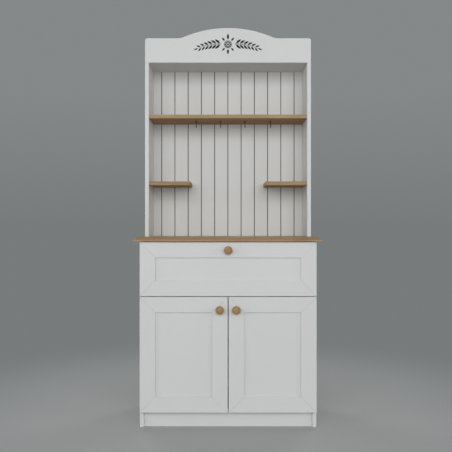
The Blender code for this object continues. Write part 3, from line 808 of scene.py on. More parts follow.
def add_piece(name, mesh, finish, body):
    """Links a mesh as a named piece that rides on a body, smooth apart from its sharp edges."""
    mesh.name = name
    mesh.materials.append(finish)
    mesh.shade_smooth()
    mesh.set_sharp_from_angle(angle=SMOOTH_ANGLE)
    piece = bpy.data.objects.new(name, mesh)
    bpy.context.scene.collection.objects.link(piece)
    if body:
        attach(piece, body)
    return piece


print("helpers for turned pieces ready")

# %% [markdown]
# ## Knobs
# Each knob is one turned piece of wood: a low domed face, a rounded rim, a cove underneath and a small foot
# that flares onto the door. The model's knob has few facets. It could be smoothed, but that would soften its
# rim too, so a finer one is spun in its place from the same sizes, with the cove and the flare as curves.

# %% Turned knobs
KNOB_DOME = 0.009
KNOB_RIM = 0.004
KNOB_RIM_STEPS = 8
KNOB_NECK_RADIUS = 0.0075
KNOB_FOOT_RADIUS = 0.0095
KNOB_NECK_HEIGHT = 0.008
KNOB_STEPS = 64
QUARTER_STEPS = 12
QUARTER = [QUARTER_TURN * i / QUARTER_STEPS for i in range(QUARTER_STEPS + 1)]
FACING_FRONT = Matrix.Rotation(QUARTER_TURN, 4, "X")


def centre_of(name):
    """The middle of a node's box at rest."""
    low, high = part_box(name)
    return (low + high) / 2


def knob_profile(radius, reach):
    """From the middle of the face, over the rim and down the cove to the foot."""
    neck = KNOB_NECK_RADIUS
    rim_top = reach - KNOB_DOME
    rim_foot = rim_top - KNOB_RIM
    cove = radius - KNOB_RIM - neck
    depth = rim_foot - KNOB_NECK_HEIGHT
    flare = KNOB_FOOT_RADIUS - neck
    dome = [(radius * math.sin(a), rim_top + KNOB_DOME * math.cos(a)) for a in QUARTER]
    rim = arc((radius - KNOB_RIM, rim_top), KNOB_RIM, 0, -QUARTER_TURN, KNOB_RIM_STEPS)
    under = [(neck + cove * (1 - math.sin(a)), rim_foot - depth * (1 - math.cos(a))) for a in QUARTER]
    foot = [(neck + flare * (1 - math.cos(a)), KNOB_NECK_HEIGHT * (1 - math.sin(a))) for a in QUARTER]
    return dome + rim[1:] + under[1:] + foot[1:] + [(0.0, 0.0)]


for name in ("drawer_knob", "left_door_knob", "right_door_knob"):
    low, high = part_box(name)
    middle = centre_of(name)
    place = Matrix.Translation((middle.x, high.y, middle.z)) @ FACING_FRONT
    profile = knob_profile((high.x - low.x) / 2, high.y - low.y)
    mesh = solid(add_turned, profile, KNOB_STEPS, place)
    knob = add_piece(f"turned_{name}", mesh, knob_wood, body_of[name])
    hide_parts(name)
print("knob profile has", len(profile), "points")

# %% [markdown]
# ## Cup hooks
# A cup hook is a length of coated wire with a screw point, a small domed flange that stops it against the
# shelf, and a round bend that opens to the front. A curve with a round bevel would do for the wire alone.
# One sweep of rings makes the whole hook a single solid: the rings' radius swells into the flange and closes
# in a half ball at the tip.

# %% Path of a hook
HOOK_WIRE_RADIUS = 0.0016
HOOK_FLANGE_RADIUS = 0.0055
HOOK_BEND_RADIUS = 0.0085
HOOK_BEND_STEPS = 32
HOOK_SWEEP = math.radians(215)
HOOK_BURIED = 0.006
FLANGE_DOME = 0.003


def hook_stations(bend_z, seat_z):
    """(y, z, radius) from the buried end to the tip, with y counted from the stem."""
    wire = HOOK_WIRE_RADIUS
    swell = HOOK_FLANGE_RADIUS - wire
    stations = [(0.0, seat_z + HOOK_BURIED, wire), (0.0, seat_z + MERGE, wire)]
    stations += [(0.0, seat_z - FLANGE_DOME * math.sin(a), wire + swell * math.cos(a)) for a in QUARTER]
    bend = arc((-HOOK_BEND_RADIUS, bend_z), HOOK_BEND_RADIUS, 0, -HOOK_SWEEP, HOOK_BEND_STEPS)
    stations += [(y, z, wire) for y, z in bend]
    end_y, end_z = bend[-1]
    heading = -HOOK_SWEEP - QUARTER_TURN
    for a in QUARTER[2:-1:2]:
        ahead = wire * math.sin(a)
        y, z = end_y + ahead * math.cos(heading), end_z + ahead * math.sin(heading)
        stations.append((y, z, wire * math.cos(a)))
    return stations


print("hook path has", len(hook_stations(0.0, 0.0)), "stations")

# %% Cup hooks
HOOK_COUNT = 4
WIRE_SIDES = 20


def wire_rings(stations, x, y):
    """Rings square to a path that stays in one upright plane."""
    turns = [math.tau * k / WIRE_SIDES for k in range(WIRE_SIDES)]
    rings = []
    for i, (along, up, radius) in enumerate(stations):
        before = stations[max(i - 1, 0)]
        after = stations[min(i + 1, len(stations) - 1)]
        lean = math.atan2(after[1] - before[1], after[0] - before[0]) + QUARTER_TURN
        lean_y, lean_z = math.cos(lean), math.sin(lean)
        spokes = [(radius * math.cos(a), radius * math.sin(a)) for a in turns]
        rings.append([(x + aside, y + along + out * lean_y, up + out * lean_z) for aside, out in spokes])
    return rings


def add_rings(bm, rings):
    """Joins closed rings of points, one after another, and closes both ends."""
    loops = [[bm.verts.new(point) for point in ring] for ring in rings]
    for near, far in zip(loops, loops[1:]):
        for i in range(len(near)):
            bm.faces.new((near[i - 1], near[i], far[i], far[i - 1]))
    bm.faces.new(loops[0])
    bm.faces.new(loops[-1])


shelf_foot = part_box("long_shelf")[0].z
for number in range(1, HOOK_COUNT + 1):
    name = f"cup_hook_{number}"
    low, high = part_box(name)
    stations = hook_stations(low.z + HOOK_WIRE_RADIUS + HOOK_BEND_RADIUS, shelf_foot)
    rings = wire_rings(stations, (low.x + high.x) / 2, high.y - HOOK_FLANGE_RADIUS)
    hook = add_piece(f"wire_{name}", solid(add_rings, rings), black_coat, body_of[name])
    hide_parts(name)
print(HOOK_COUNT, "hooks of", len(rings), "rings")

# %% [markdown]
# ## Crown ornament
# The crown board carries a dark ornament about a third of a metre wide: a plain laurel motif with a rosette
# in the middle, small fans of leaves above and below it, and a leafy sprig to each side that follows the
# arch. Paint in a finish would blur at its edges. So it is cut from thin film, as in a sign maker's shop:
# every leaf is a flat outline with a small thickness, clear of the stem and of its neighbours.

# %% A leaf
LEAF_STEPS = 10
LEAF_SHOULDER = 0.85
LEAF_FULLNESS = 0.9


def pointing(angle):
    return Vector((math.cos(angle), math.sin(angle)))


def leaf(root, heading, length, width, bend=0.0):
    """A pointed leaf as an outline, from its root along a heading. A bend curls it to one side."""
    along = pointing(heading)
    aside = pointing(heading + QUARTER_TURN)
    left, right = [], []
    for i in range(LEAF_STEPS + 1):
        share = i / LEAF_STEPS
        middle = Vector(root) + along * length * share + aside * bend * length * share**2
        half = aside * width / 2 * math.sin(math.pi * share**LEAF_SHOULDER) ** LEAF_FULLNESS
        left.append(tuple(middle + half))
        right.append(tuple(middle - half))
    return left + right[-2:0:-1]


print("a leaf has", len(leaf((0.0, 0.0), 0.0, 1.0, 0.5)), "points")

# %% Sprigs of leaves
SPRIG_START = 0.034
SPRIG_LENGTH = 0.110
SPRIG_RISE = 0.009
SPRIG_DROOP = 0.021
STEM_HALF_WIDTH = 0.0016
STEM_TAPER = 0.0009
STEM_STEPS = 24
LEAF_PAIRS = 6
LEAF_GAP = 0.0016
LEAF_FIRST = 0.05
LEAF_RUN = 0.84
LEAF_SHRINK = 0.38
LEAF_SIZE = (0.031, 0.0112)
LEAF_TURN = 46
LEAF_TURN_LOSS = 10
LEAF_CURL = -0.10
TIP_SIZE = (0.021, 0.0068)
NUDGE = 0.01


def sprig_point(side, share):
    drop = SPRIG_RISE - SPRIG_DROOP * share**2
    return Vector((side * (SPRIG_START + SPRIG_LENGTH * share), drop))


def sprig_heading(side, share):
    step = sprig_point(side, share + NUDGE) - sprig_point(side, share - NUDGE)
    return math.atan2(step.y, step.x)


def stem_outline(side):
    """A ribbon along the sprig that narrows towards its tip."""
    upper, lower = [], []
    for i in range(STEM_STEPS + 1):
        share = i / STEM_STEPS
        half = pointing(sprig_heading(side, share) + QUARTER_TURN) * (STEM_HALF_WIDTH - STEM_TAPER * share)
        upper.append(tuple(sprig_point(side, share) + half))
        lower.append(tuple(sprig_point(side, share) - half))
    return upper + lower[::-1]


def sprig_outlines(side):
    """A stem, pairs of leaves that grow smaller along it, and a leaf at its tip."""
    outlines = [stem_outline(side)]
    for pair in range(LEAF_PAIRS):
        share = LEAF_FIRST + LEAF_RUN * pair / (LEAF_PAIRS - 1)
        heading = sprig_heading(side, share)
        length, width = (part * (1.0 - LEAF_SHRINK * share) for part in LEAF_SIZE)
        for way in (side, -side):
            turn = way * math.radians(LEAF_TURN - LEAF_TURN_LOSS * share)
            away = pointing(heading + QUARTER_TURN) * way * (STEM_HALF_WIDTH + LEAF_GAP)
            root = sprig_point(side, share) + away
            outlines.append(leaf(root, heading + turn, length, width, LEAF_CURL * way))
    heading = sprig_heading(side, 1.0)
    outlines.append(leaf(sprig_point(side, 1.0) + pointing(heading) * LEAF_GAP, heading, *TIP_SIZE))
    return outlines


print("a sprig has", len(sprig_outlines(1)), "cut shapes")

# %% Rosette, fans and the finished ornament
FILM = 0.0005
FILM_BEDDED = 0.0001
ORNAMENT_MIDDLE = 0.081
ROSETTE_DROP = 0.002
ROSETTE = (0.0, SPRIG_RISE - ROSETTE_DROP)
HEART_RADIUS = 0.0046
HEART_SIDES = 32
PETALS = 8
PETAL_START = 0.0064
PETAL_SIZE = (0.0138, 0.0076)
BEAD_RADIUS = 0.0021
BEAD_SIDES = 16
BEAD_RING = 0.0180
FAN_START = 0.0232
FAN_TURNS = [math.radians(90 + turn) for turn in (-42, 0, 42)]
UPPER_FAN = ((0.021, 0.0086), (0.029, 0.0106), (0.021, 0.0086))
LOWER_FAN = ((0.019, 0.0080), (0.025, 0.0100), (0.019, 0.0080))


def disc(centre, radius, sides):
    """A circle as an outline that doesn't repeat its first point."""
    return arc(centre, radius, 0, math.tau * (sides - 1) / sides, sides - 1)


def fan_outlines(start, sizes, headings):
    """Leaves that spread from the rosette, each starting at the same distance from its middle."""
    return [leaf(Vector(ROSETTE) + pointing(a) * start, a, *size) for a, size in zip(headings, sizes)]


def rosette_outlines():
    """A heart, petals round it, and a bead between every two petals."""
    headings = [math.tau * i / PETALS for i in range(PETALS)]
    petals = fan_outlines(PETAL_START, [PETAL_SIZE] * PETALS, headings)
    between = [Vector(ROSETTE) + pointing(a + math.pi / PETALS) * BEAD_RING for a in headings]
    beads = [disc(spot, BEAD_RADIUS, BEAD_SIDES) for spot in between]
    return [disc(ROSETTE, HEART_RADIUS, HEART_SIDES)] + petals + beads


def add_plate(bm, outline, foot, top, place=Matrix()):
    """Gives an outline of (x, y) points a thickness, from foot to top along Z."""
    before = set(bm.verts)
    face = bm.faces.new([bm.verts.new((x, y, foot)) for x, y in outline])
    grown = bmesh.ops.extrude_face_region(bm, geom=[face])["geom"]
    raised = [item for item in grown if isinstance(item, bmesh.types.BMVert)]
    bmesh.ops.translate(bm, vec=(0, 0, top - foot), verts=raised)
    bmesh.ops.transform(bm, matrix=place, verts=added(bm, before))


outlines = rosette_outlines()
outlines += fan_outlines(FAN_START, UPPER_FAN, FAN_TURNS)
outlines += fan_outlines(FAN_START, LOWER_FAN, [-turn for turn in FAN_TURNS])
outlines += sprig_outlines(1) + sprig_outlines(-1)
crown_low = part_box("crown_board")[0]
place = Matrix.Translation((0.0, crown_low.y + FILM_BEDDED, crown_low.z + ORNAMENT_MIDDLE)) @ FACING_FRONT
bm = bmesh.new()
for outline in outlines:
    add_plate(bm, outline, 0.0, FILM + FILM_BEDDED, place)
add_piece("crown_laurel", as_mesh(bm, "crown_laurel"), charcoal_film, body_of["crown_board"])
print("ornament of", len(outlines), "cut shapes")

# %% [markdown]
# ## Screws
# Every screw here has a low round head with a cross recess. A bump in the finish could draw the cross, but
# it would have no depth when seen from the side. So one head is made at a radius of one metre, with the
# cross cut out of a spun dome by Boolean modifiers on short-lived objects. Copies of it are scaled, turned
# and set where they hold something.

# %% Cutting and joining
def combined(base, *steps):
    """One mesh from closed meshes: each step is (operation, mesh)."""
    meshes = [base] + [mesh for _, mesh in steps]
    holder, *tools = [bpy.data.objects.new("shape", mesh) for mesh in meshes]
    for obj in (holder, *tools):
        bpy.context.scene.collection.objects.link(obj)
    for tool, (operation, _) in zip(tools, steps):
        step = holder.modifiers.new(operation, "BOOLEAN")
        step.operation = operation
        step.object = tool
    graph = bpy.context.evaluated_depsgraph_get()
    bm = bmesh.new()
    bm.from_mesh(holder.evaluated_get(graph).to_mesh())
    bmesh.ops.remove_doubles(bm, verts=bm.verts, dist=MERGE)
    bmesh.ops.dissolve_degenerate(bm, edges=bm.edges, dist=MERGE)
    for obj in (holder, *tools):
        bpy.data.objects.remove(obj)
    return as_mesh(bm, "shape")


print("cutting and joining ready")

# %% Screw heads
HEAD_HEIGHT = 0.42
HEAD_FOOT = -0.3
HEAD_STEPS = 28
CROSS_WIDTH = 0.26
CROSS_REACH = 1.24
CROSS_FLOOR = 0.05


def make_screw_head():
    dome = [(math.sin(a), HEAD_HEIGHT * math.cos(a)) for a in QUARTER[::2]]
    head = solid(add_turned, dome + [(1.0, HEAD_FOOT), (0.0, HEAD_FOOT)], HEAD_STEPS)
    half, reach = CROSS_WIDTH / 2, CROSS_REACH / 2
    cuts = []
    for x, y in ((reach, half), (half, reach)):
        bar = solid(add_plate, [(x, y), (-x, y), (-x, -y), (x, -y)], CROSS_FLOOR, 1.0)
        cuts.append(("DIFFERENCE", bar))
    return combined(head, *cuts)


def add_copy(bm, mesh, place):
    """Adds a finished mesh, moved to a place."""
    before = set(bm.verts)
    bm.from_mesh(mesh)
    bmesh.ops.transform(bm, matrix=place, verts=added(bm, before))


def add_screws(name, places, outwards, body):
    """One piece with a screw head at each (point, radius), all facing one way."""
    bm = bmesh.new()
    turn = Vector((0, 0, 1)).rotation_difference(Vector(outwards)).to_matrix().to_4x4()
    for point, radius in places:
        add_copy(bm, screw_head, Matrix.Translation(point) @ turn @ Matrix.Scale(radius, 4))
    add_piece(name, as_mesh(bm, name), zinc_steel, body)


screw_head = make_screw_head()
print("screw head of", len(screw_head.polygons), "faces")

# %% [markdown]
# ## Hinge cups
# A concealed hinge has three parts: a cup in the door, an arm on the side board, and the links between them.
# The cup is pressed from steel, with a rim that seats it and two wings that take its screws. It could be one
# lathe profile, but the wings aren't round. So it is a Boolean union of a turned body and a flat outline,
# with the hollow cut out last.

# %% Hinge cups
CUP_RADIUS = 0.0175
CUP_WALL = 0.0015
CUP_DEPTH = 0.0115
CUP_RIM_RADIUS = 0.020
CUP_RIM_TOP = 0.0015
CUP_RIM_EDGE = 0.0006
CUP_SEAT = 0.0003
CUP_FILLET = 0.003
FILLET_STEPS = 6
CUP_STEPS = 56
MOUTH_FLARE = 0.0008
MOUTH_DEPTH = 0.0012
WING_FOOT = 0.0004
WING_TOP = 0.0013
WING_HALF_LENGTH = 0.031
WING_RADIUS = 0.009
WING_SHIFT = 0.006
CAPSULE_STEPS = 12


def capsule(half_length, radius, middle=(0.0, 0.0)):
    """An outline with round ends, long in Y. The half length includes the round end."""
    reach = half_length - radius
    top = arc((middle[0], middle[1] + reach), radius, 0, math.pi, CAPSULE_STEPS)
    foot = arc((middle[0], middle[1] - reach), radius, math.pi, math.tau, CAPSULE_STEPS)
    return top + foot


def make_cup():
    """A cup about Z, its mouth up, with its wings along Y and shifted along X."""
    top = CUP_RIM_TOP
    bore = CUP_RADIUS - CUP_WALL
    mouth = bore + MOUTH_FLARE
    floor = CUP_WALL - CUP_DEPTH
    outer = [(0.0, top), (CUP_RIM_RADIUS - CUP_RIM_EDGE, top), (CUP_RIM_RADIUS, top - CUP_RIM_EDGE)]
    outer += [(CUP_RIM_RADIUS, CUP_SEAT), (CUP_RADIUS, CUP_SEAT), (CUP_RADIUS, -CUP_DEPTH), (0.0, -CUP_DEPTH)]
    inner = [(0.0, 2 * top), (mouth, 2 * top), (mouth, top), (bore, top - MOUTH_DEPTH)]
    inner += arc((bore - CUP_FILLET, floor + CUP_FILLET), CUP_FILLET, 0, -QUARTER_TURN, FILLET_STEPS)
    inner += [(0.0, floor)]
    outline = capsule(WING_HALF_LENGTH, WING_RADIUS, (WING_SHIFT, 0.0))
    wings = solid(add_plate, outline, WING_FOOT, WING_TOP)
    body = solid(add_turned, outer, CUP_STEPS)
    hollow = solid(add_turned, inner, CUP_STEPS)
    return combined(body, ("UNION", wings), ("DIFFERENCE", hollow))


cup_mesh = make_cup()
print("cup of", len(cup_mesh.polygons), "faces")

# %% Cups in the doors
LEVELS = ("upper", "lower")
HINGES = [(f"{word}_{level}", word, side) for word, side in SIDES.items() for level in LEVELS]
WING_SCREW = 0.0225
WING_SCREW_RADIUS = 0.0032


def cup_place(hinge, side):
    """Turns a cup to face the cabinet, with its wings towards the middle of the door."""
    node = f"{hinge}_hinge_cup"
    middle = centre_of(node)
    turn = Matrix(((-side, 0, 0, 0), (0, 0, 1, 0), (0, 1, 0, 0), (0, 0, 0, 1)))
    return Matrix.Translation((middle.x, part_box(node)[1].y - CUP_RIM_TOP, middle.z)) @ turn


for hinge, word, side in HINGES:
    mesh = solid(add_copy, cup_mesh, cup_place(hinge, side))
    cup = add_piece(f"{hinge}_winged_cup", mesh, zinc_steel, f"{word}_door")
    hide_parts(f"{hinge}_hinge_cup")
for word, side in SIDES.items():
    places = []
    for level in LEVELS:
        for end in (WING_SCREW, -WING_SCREW):
            spot = cup_place(f"{word}_{level}", side) @ Vector((WING_SHIFT, end, WING_TOP))
            places.append((spot, WING_SCREW_RADIUS))
    add_screws(f"{word}_cup_screws", places, (0, 1, 0), f"{word}_door")
print("cups", len(HINGES), "with", 2 * len(HINGES), "screws")

# %% [markdown]
# ## Hinge arms
# The arm is a pressed channel with a crowned top, clamped to a plate on the side board. One screw clamps it
# and another, in a slot, sets the door sideways. A bevelled box would miss how it widens behind the nose and
# slopes down at its tail. So the arm is a row of rounded sections, joined to the plate by a Boolean.

# %% Shape of a hinge arm
ARM_CORNER = 0.0022
ARM_CORNER_STEPS = 5
ARM_STATIONS = (  # distance from the nose, then the top, foot and half height of the section there
    (0.0000, 0.0010, 0.0066, 0.0034),
    (0.0020, 0.0002, 0.0074, 0.0044),
    (0.0135, 0.0002, 0.0074, 0.0044),
    (0.0185, 0.0002, 0.0103, 0.0058),
    (0.0580, 0.0004, 0.0103, 0.0059),
    (0.0650, 0.0024, 0.0103, 0.0055),
    (0.0673, 0.0054, 0.0103, 0.0046),
)


def arm_rings(side, face, nose, height):
    """Rounded sections along the arm, one at each station."""
    rings = []
    for along, top, foot, half in ARM_STATIONS:
        middle = (top + ARM_CORNER, half - ARM_CORNER)
        corner = arc(middle, ARM_CORNER, QUARTER_TURN, math.pi, ARM_CORNER_STEPS)
        outline = [(foot, half)] + corner + [(x, -z) for x, z in reversed(corner)] + [(foot, -half)]
        rings.append([(side * (face + x), nose + along, height + z) for x, z in outline])
    return rings


def across(side):
    """Lays an outline's X along the cabinet's Y, its Y up, and its thickness outwards to one side."""
    return Matrix(((0, 0, side, 0), (1, 0, 0, 0), (0, 1, 0, 0), (0, 0, 0, 1)))


def oblong(half_length, radius, along=0.0):
    """A capsule that lies along X."""
    return [(along + y, x) for x, y in capsule(half_length, radius)]


print("arm of", len(ARM_STATIONS), "sections")

# %% Hinge arms
PLATE_HALF_LENGTH = 0.024
PLATE_RADIUS = 0.007
PLATE_THICKNESS = 0.002
PLATE_FROM_NOSE = 0.0495
PLATE_SCREW = 0.016
PLATE_SCREW_RADIUS = 0.0036
SLOT_FROM_NOSE = 0.032
SLOT_HALF_LENGTH = 0.0065
SLOT_RADIUS = 0.0028
SLOT_DEPTH = 0.001
ARM_SCREWS = ((0.0495, 0.0034, 0.0004), (0.034, 0.0022, 0.0012))  # from the nose, radius, how far sunk


def make_arm(hinge, side):
    """The arm with its plate, and the (point, radius) places of its screws."""
    low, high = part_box(f"{hinge}_hinge_arm")
    face, seat = sorted((abs(low.x), abs(high.x)))
    plate_foot = seat - PLATE_THICKNESS
    nose = low.y
    height = (low.z + high.z) / 2
    plate_place = Matrix.Translation((0.0, nose + PLATE_FROM_NOSE, height)) @ across(side)
    plate = solid(add_plate, capsule(PLATE_HALF_LENGTH, PLATE_RADIUS), plate_foot, seat, plate_place)
    slot_place = Matrix.Translation((0.0, nose + SLOT_FROM_NOSE, height)) @ across(side)
    slot = oblong(SLOT_HALF_LENGTH, SLOT_RADIUS)
    slot = solid(add_plate, slot, face - SLOT_DEPTH, face + SLOT_DEPTH, slot_place)
    body = solid(add_rings, arm_rings(side, face, nose, height))
    screws = [(Vector((side * (face + sunk), nose + y, height)), radius) for y, radius, sunk in ARM_SCREWS]
    for end in (PLATE_SCREW, -PLATE_SCREW):
        spot = Vector((side * plate_foot, nose + PLATE_FROM_NOSE, height + end))
        screws.append((spot, PLATE_SCREW_RADIUS))
    return combined(body, ("UNION", plate), ("DIFFERENCE", slot)), screws


for word, side in SIDES.items():
    screws = []
    for level in LEVELS:
        hinge = f"{word}_{level}"
        mesh, places = make_arm(hinge, side)
        screws += places
        arm = add_piece(f"{hinge}_pressed_arm", mesh, zinc_steel, "cabinet")
        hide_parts(f"{hinge}_hinge_arm")
    add_screws(f"{word}_arm_screws", screws, (-side, 0, 0), "cabinet")
print("arms", len(HINGES), "with", len(screws) * len(SIDES), "screws")

# %% [markdown]
# ## Hinge links
# Two links run from the arm's nose into the cup and swing round as the door opens. A real link turns on pins
# of its own. Here each is a curved strip about the door's pivot, made where the door is shut. It is set on no
# body, and its place is baked into its mesh.

# %% Shape of a link
LINK_START = (0.0170, 0.0135)
LINK_END = (0.0225, 0.0020)
LINK_HALF_WIDTH = 0.0016
LINK_TIP_HALF_WIDTH = LINK_HALF_WIDTH / 4
LINK_STEPS = 28


def link_edges():
    """The two long edges of a round-ended strip, as (inwards, backwards) distances from the pivot."""
    start, end = (math.atan2(back, inwards) for inwards, back in (LINK_START, LINK_END))
    start_radius, end_radius = math.hypot(*LINK_START), math.hypot(*LINK_END)
    length = abs(end - start) * (start_radius + end_radius) / 2
    outer, inner = [], []
    for i in range(LINK_STEPS + 1):
        share = i / LINK_STEPS
        ray = (math.cos(start + (end - start) * share), math.sin(start + (end - start) * share))
        radius = start_radius + (end_radius - start_radius) * share
        rounding = max(LINK_HALF_WIDTH - min(share, 1 - share) * length, 0.0)
        half = math.sqrt(max(LINK_HALF_WIDTH**2 - rounding**2, LINK_TIP_HALF_WIDTH**2))
        outer.append([(radius + half) * part for part in ray])
        inner.append([(radius - half) * part for part in ray])
    return outer, inner


print("a link has", len(link_edges()[0]), "sections")

# %% Hinge links
LINK_INSIDE = 0.0048
LINK_THICKNESS = 0.0013

pivots = {joint["child"]: Vector(joint["pos_m"]) for joint in frame["joints"] if joint["type"] == "hinge"}


def link_rings(pivot, side, z, foot, top):
    """Four-cornered sections of one link, from the arm to the cup."""
    rings = []
    for far, near in zip(*link_edges()):
        corners = ((far, foot), (near, foot), (near, top), (far, top))
        rings.append([(pivot.x - side * x, pivot.y + y, z + up) for (x, y), up in corners])
    return rings


for hinge, word, side in HINGES:
    pivot = pivots[f"{word}_door"]
    height = centre_of(f"{hinge}_hinge_cup").z
    bm = bmesh.new()
    for up in (1, -1):
        near, far = up * LINK_INSIDE, up * (LINK_INSIDE + LINK_THICKNESS)
        add_rings(bm, link_rings(pivot, side, height, near, far))
    link = add_piece(f"{hinge}_links", as_mesh(bm, "links"), zinc_steel, None)
    end = (pivot.x - side * LINK_END[0], pivot.y + LINK_END[1], pivot.z)
    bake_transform(link)
print("links bend round the pivots of", sorted(pivots))

# %% [markdown]
# ## Panel pins in the back boards
# Small nails called panel pins hold the two back boards to the edges of the boards in front of them. Heads
# laid on the board would stand proud of the cabinet's back, so each sits in a shallow dimple. The dimples
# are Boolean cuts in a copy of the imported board, which stands in for the board itself.

# %% Boards with cuts
def welded_copy(name):
    """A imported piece's mesh as one closed solid."""
    bm = bmesh.new()
    bm.from_mesh(nodes[name].data)
    bmesh.ops.remove_doubles(bm, verts=bm.verts, dist=WELD_DISTANCE)
    bmesh.ops.dissolve_limit(bm, angle_limit=FLAT_ANGLE, verts=bm.verts, edges=bm.edges)
    return as_mesh(bm, name)


def add_cut_copy(name, word, cutter, width):
    """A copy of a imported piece, with a cutter taken out and its edges rounded, that stands for the piece."""
    mesh = combined(welded_copy(name), ("DIFFERENCE", cutter))
    piece = add_piece(f"{word}_{name}", mesh, nodes[name].data.materials[0], body_of[name])
    soften(piece, width)
    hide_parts(name)


print("cut copies ready")

# %% Panel pins
PIN_SPACING = 0.095
PIN_EDGE = 0.022
PIN_STEPS = 20
# The next two are (radius, height) points, counted from the back of the board.
DIMPLE_PROFILE = ((0.0, 0.0008), (0.0028, 0.0008), (0.00196, -0.0008), (0.0, -0.0008))
PIN_PROFILE = ((0.0, -0.0002), (0.00152, -0.00025), (0.0019, -0.0005), (0.0019, -0.003), (0.0, -0.003))
BACK_ROUNDING = ROUNDING["white_paint"] / 3
FACING_BACK = Matrix.Rotation(-QUARTER_TURN, 4, "X")


def pin_row(shelf):
    """Pin places along the back edge of a board: evenly spaced between its ends."""
    low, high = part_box(shelf)
    start, end = low.x + PIN_EDGE, high.x - PIN_EDGE
    count = max(round((end - start) / PIN_SPACING), 1)
    return [(start + (end - start) * i / count, (low.z + high.z) / 2) for i in range(count + 1)]


def add_pinned_back(name, shelves):
    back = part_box(name)[1].y
    spots = [spot for shelf in shelves for spot in pin_row(shelf)]
    cutter, pins = bmesh.new(), bmesh.new()
    for x, z in spots:
        place = Matrix.Translation((x, back, z)) @ FACING_BACK
        add_turned(cutter, DIMPLE_PROFILE, PIN_STEPS, place)
        add_turned(pins, PIN_PROFILE, PIN_STEPS, place)
    add_cut_copy(name, "pinned", as_mesh(cutter, "dimples"), BACK_ROUNDING)
    add_piece(f"{name}_pins", as_mesh(pins, "pins"), zinc_steel, body_of[name])
    print(name, "held by", len(spots), "pins")


add_pinned_back("base_back", ("base_bottom", "drawer_divider", "stretcher_rear"))
add_pinned_back("hutch_back", ("hutch_top", "long_shelf", "short_shelf_left", "short_shelf_right"))

# %% [markdown]
# ## Shelf pins in the side boards
# The inner shelf lies on four steel pins, and the side boards are drilled in rows, so that it can be set
# higher or lower. Dark dots in the paint would look flat from the side. The holes are cut as the dimples
# were, so they have a real depth, and each pin goes into one of them.

# %% Shelf pins
SHELF_PIN_RADIUS = 0.0025
SHELF_PIN_REACH = 0.009
SHELF_PIN_INSET = 0.045
SHELF_PIN_TIP = 0.001
SHELF_PIN_TIP_STEPS = 4
HOLE_SPACING = 0.032
HOLE_ROWS = 3
HOLE_DEPTH = 0.008
HOLE_SPARE = 0.001


def add_drilled_side(word, side):
    """A side board with two rows of holes, and the two pins that carry the inner shelf."""
    name = f"base_side_{word}"
    radius = SHELF_PIN_RADIUS
    face = min(abs(corner.x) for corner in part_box(name))
    shelf_low, shelf_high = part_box("inner_shelf")
    pin_z = shelf_low.z - radius - MERGE
    pin_end = HOLE_SPARE - HOLE_DEPTH
    into = Matrix.Rotation(-side * QUARTER_TURN, 4, "Y")
    hole = [(0.0, HOLE_DEPTH), (radius, HOLE_DEPTH), (radius, -HOLE_DEPTH), (0.0, -HOLE_DEPTH)]
    tip_middle = (radius - SHELF_PIN_TIP, SHELF_PIN_REACH - SHELF_PIN_TIP)
    tip = arc(tip_middle, SHELF_PIN_TIP, QUARTER_TURN, 0, SHELF_PIN_TIP_STEPS)
    pin = [(0.0, SHELF_PIN_REACH)] + tip + [(radius, pin_end), (0.0, pin_end)]
    cutter, pins = bmesh.new(), bmesh.new()
    for y in (shelf_low.y + SHELF_PIN_INSET, shelf_high.y - SHELF_PIN_INSET):
        for row in range(-HOLE_ROWS, HOLE_ROWS + 1):
            place = Matrix.Translation((side * face, y, pin_z + row * HOLE_SPACING)) @ into
            add_turned(cutter, hole, PIN_STEPS, place)
            if row == 0:
                add_turned(pins, pin, PIN_STEPS, place)
    add_cut_copy(name, "drilled", as_mesh(cutter, "holes"), ROUNDING["white_paint"])
    add_piece(f"{word}_shelf_pins", as_mesh(pins, "pins"), zinc_steel, "cabinet")


for word, side in SIDES.items():
    add_drilled_side(word, side)
print("each side has two rows of", 2 * HOLE_ROWS + 1, "holes")

# %% [markdown]
# ## Drawer runners
# Each runner has three members, rolled from steel strip. The one on the drawer and the one between are
# pierced along their webs with oblong and round holes, which take the screws and save weight. Holes that
# are only painted on would show no drawer behind them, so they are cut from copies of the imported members,
# as the boards were. Screws hold the drawer's member through its oblong holes.

# %% Pierced runners
RUNNER_WEB = 0.0012
PIERCING_PITCH = 0.070
PIERCING_END = 0.025
OBLONG_HALF_LENGTH = 0.011
OBLONG_RADIUS = 0.0032
ROUND_RADIUS = 0.0024
ROUND_SIDES = 20
RUNNER_SCREW_RADIUS = 0.0042


def pierce_runner(name, side, web, oblong_ones, round_ones):
    """Cuts holes at distances from the front end, through a web whose outer face is at the given x."""
    low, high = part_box(name)
    place = Matrix.Translation((0.0, low.y, (low.z + high.z) / 2)) @ across(side)
    outlines = [oblong(OBLONG_HALF_LENGTH, OBLONG_RADIUS, along) for along in oblong_ones]
    outlines += [disc((along, 0.0), ROUND_RADIUS, ROUND_SIDES) for along in round_ones]
    cutter = bmesh.new()
    for outline in outlines:
        add_plate(cutter, outline, web - 2 * RUNNER_WEB, web + RUNNER_WEB, place)
    add_cut_copy(name, "pierced", as_mesh(cutter, "holes"), ROUNDING["zinc_steel"])
    return place


def piercings(length):
    """Distances of holes along a runner, and of the places halfway between them."""
    count = int((length - 2 * PIERCING_END) / PIERCING_PITCH) + 1
    ends = [PIERCING_END + PIERCING_PITCH * i for i in range(count)]
    return ends, [along + PIERCING_PITCH / 2 for along in ends[:-1]]


runner_low, runner_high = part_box("runner_drawer_left")
ends, between = piercings(runner_high.y - runner_low.y)
print("runner holes at", [round(along, 3) for along in ends])

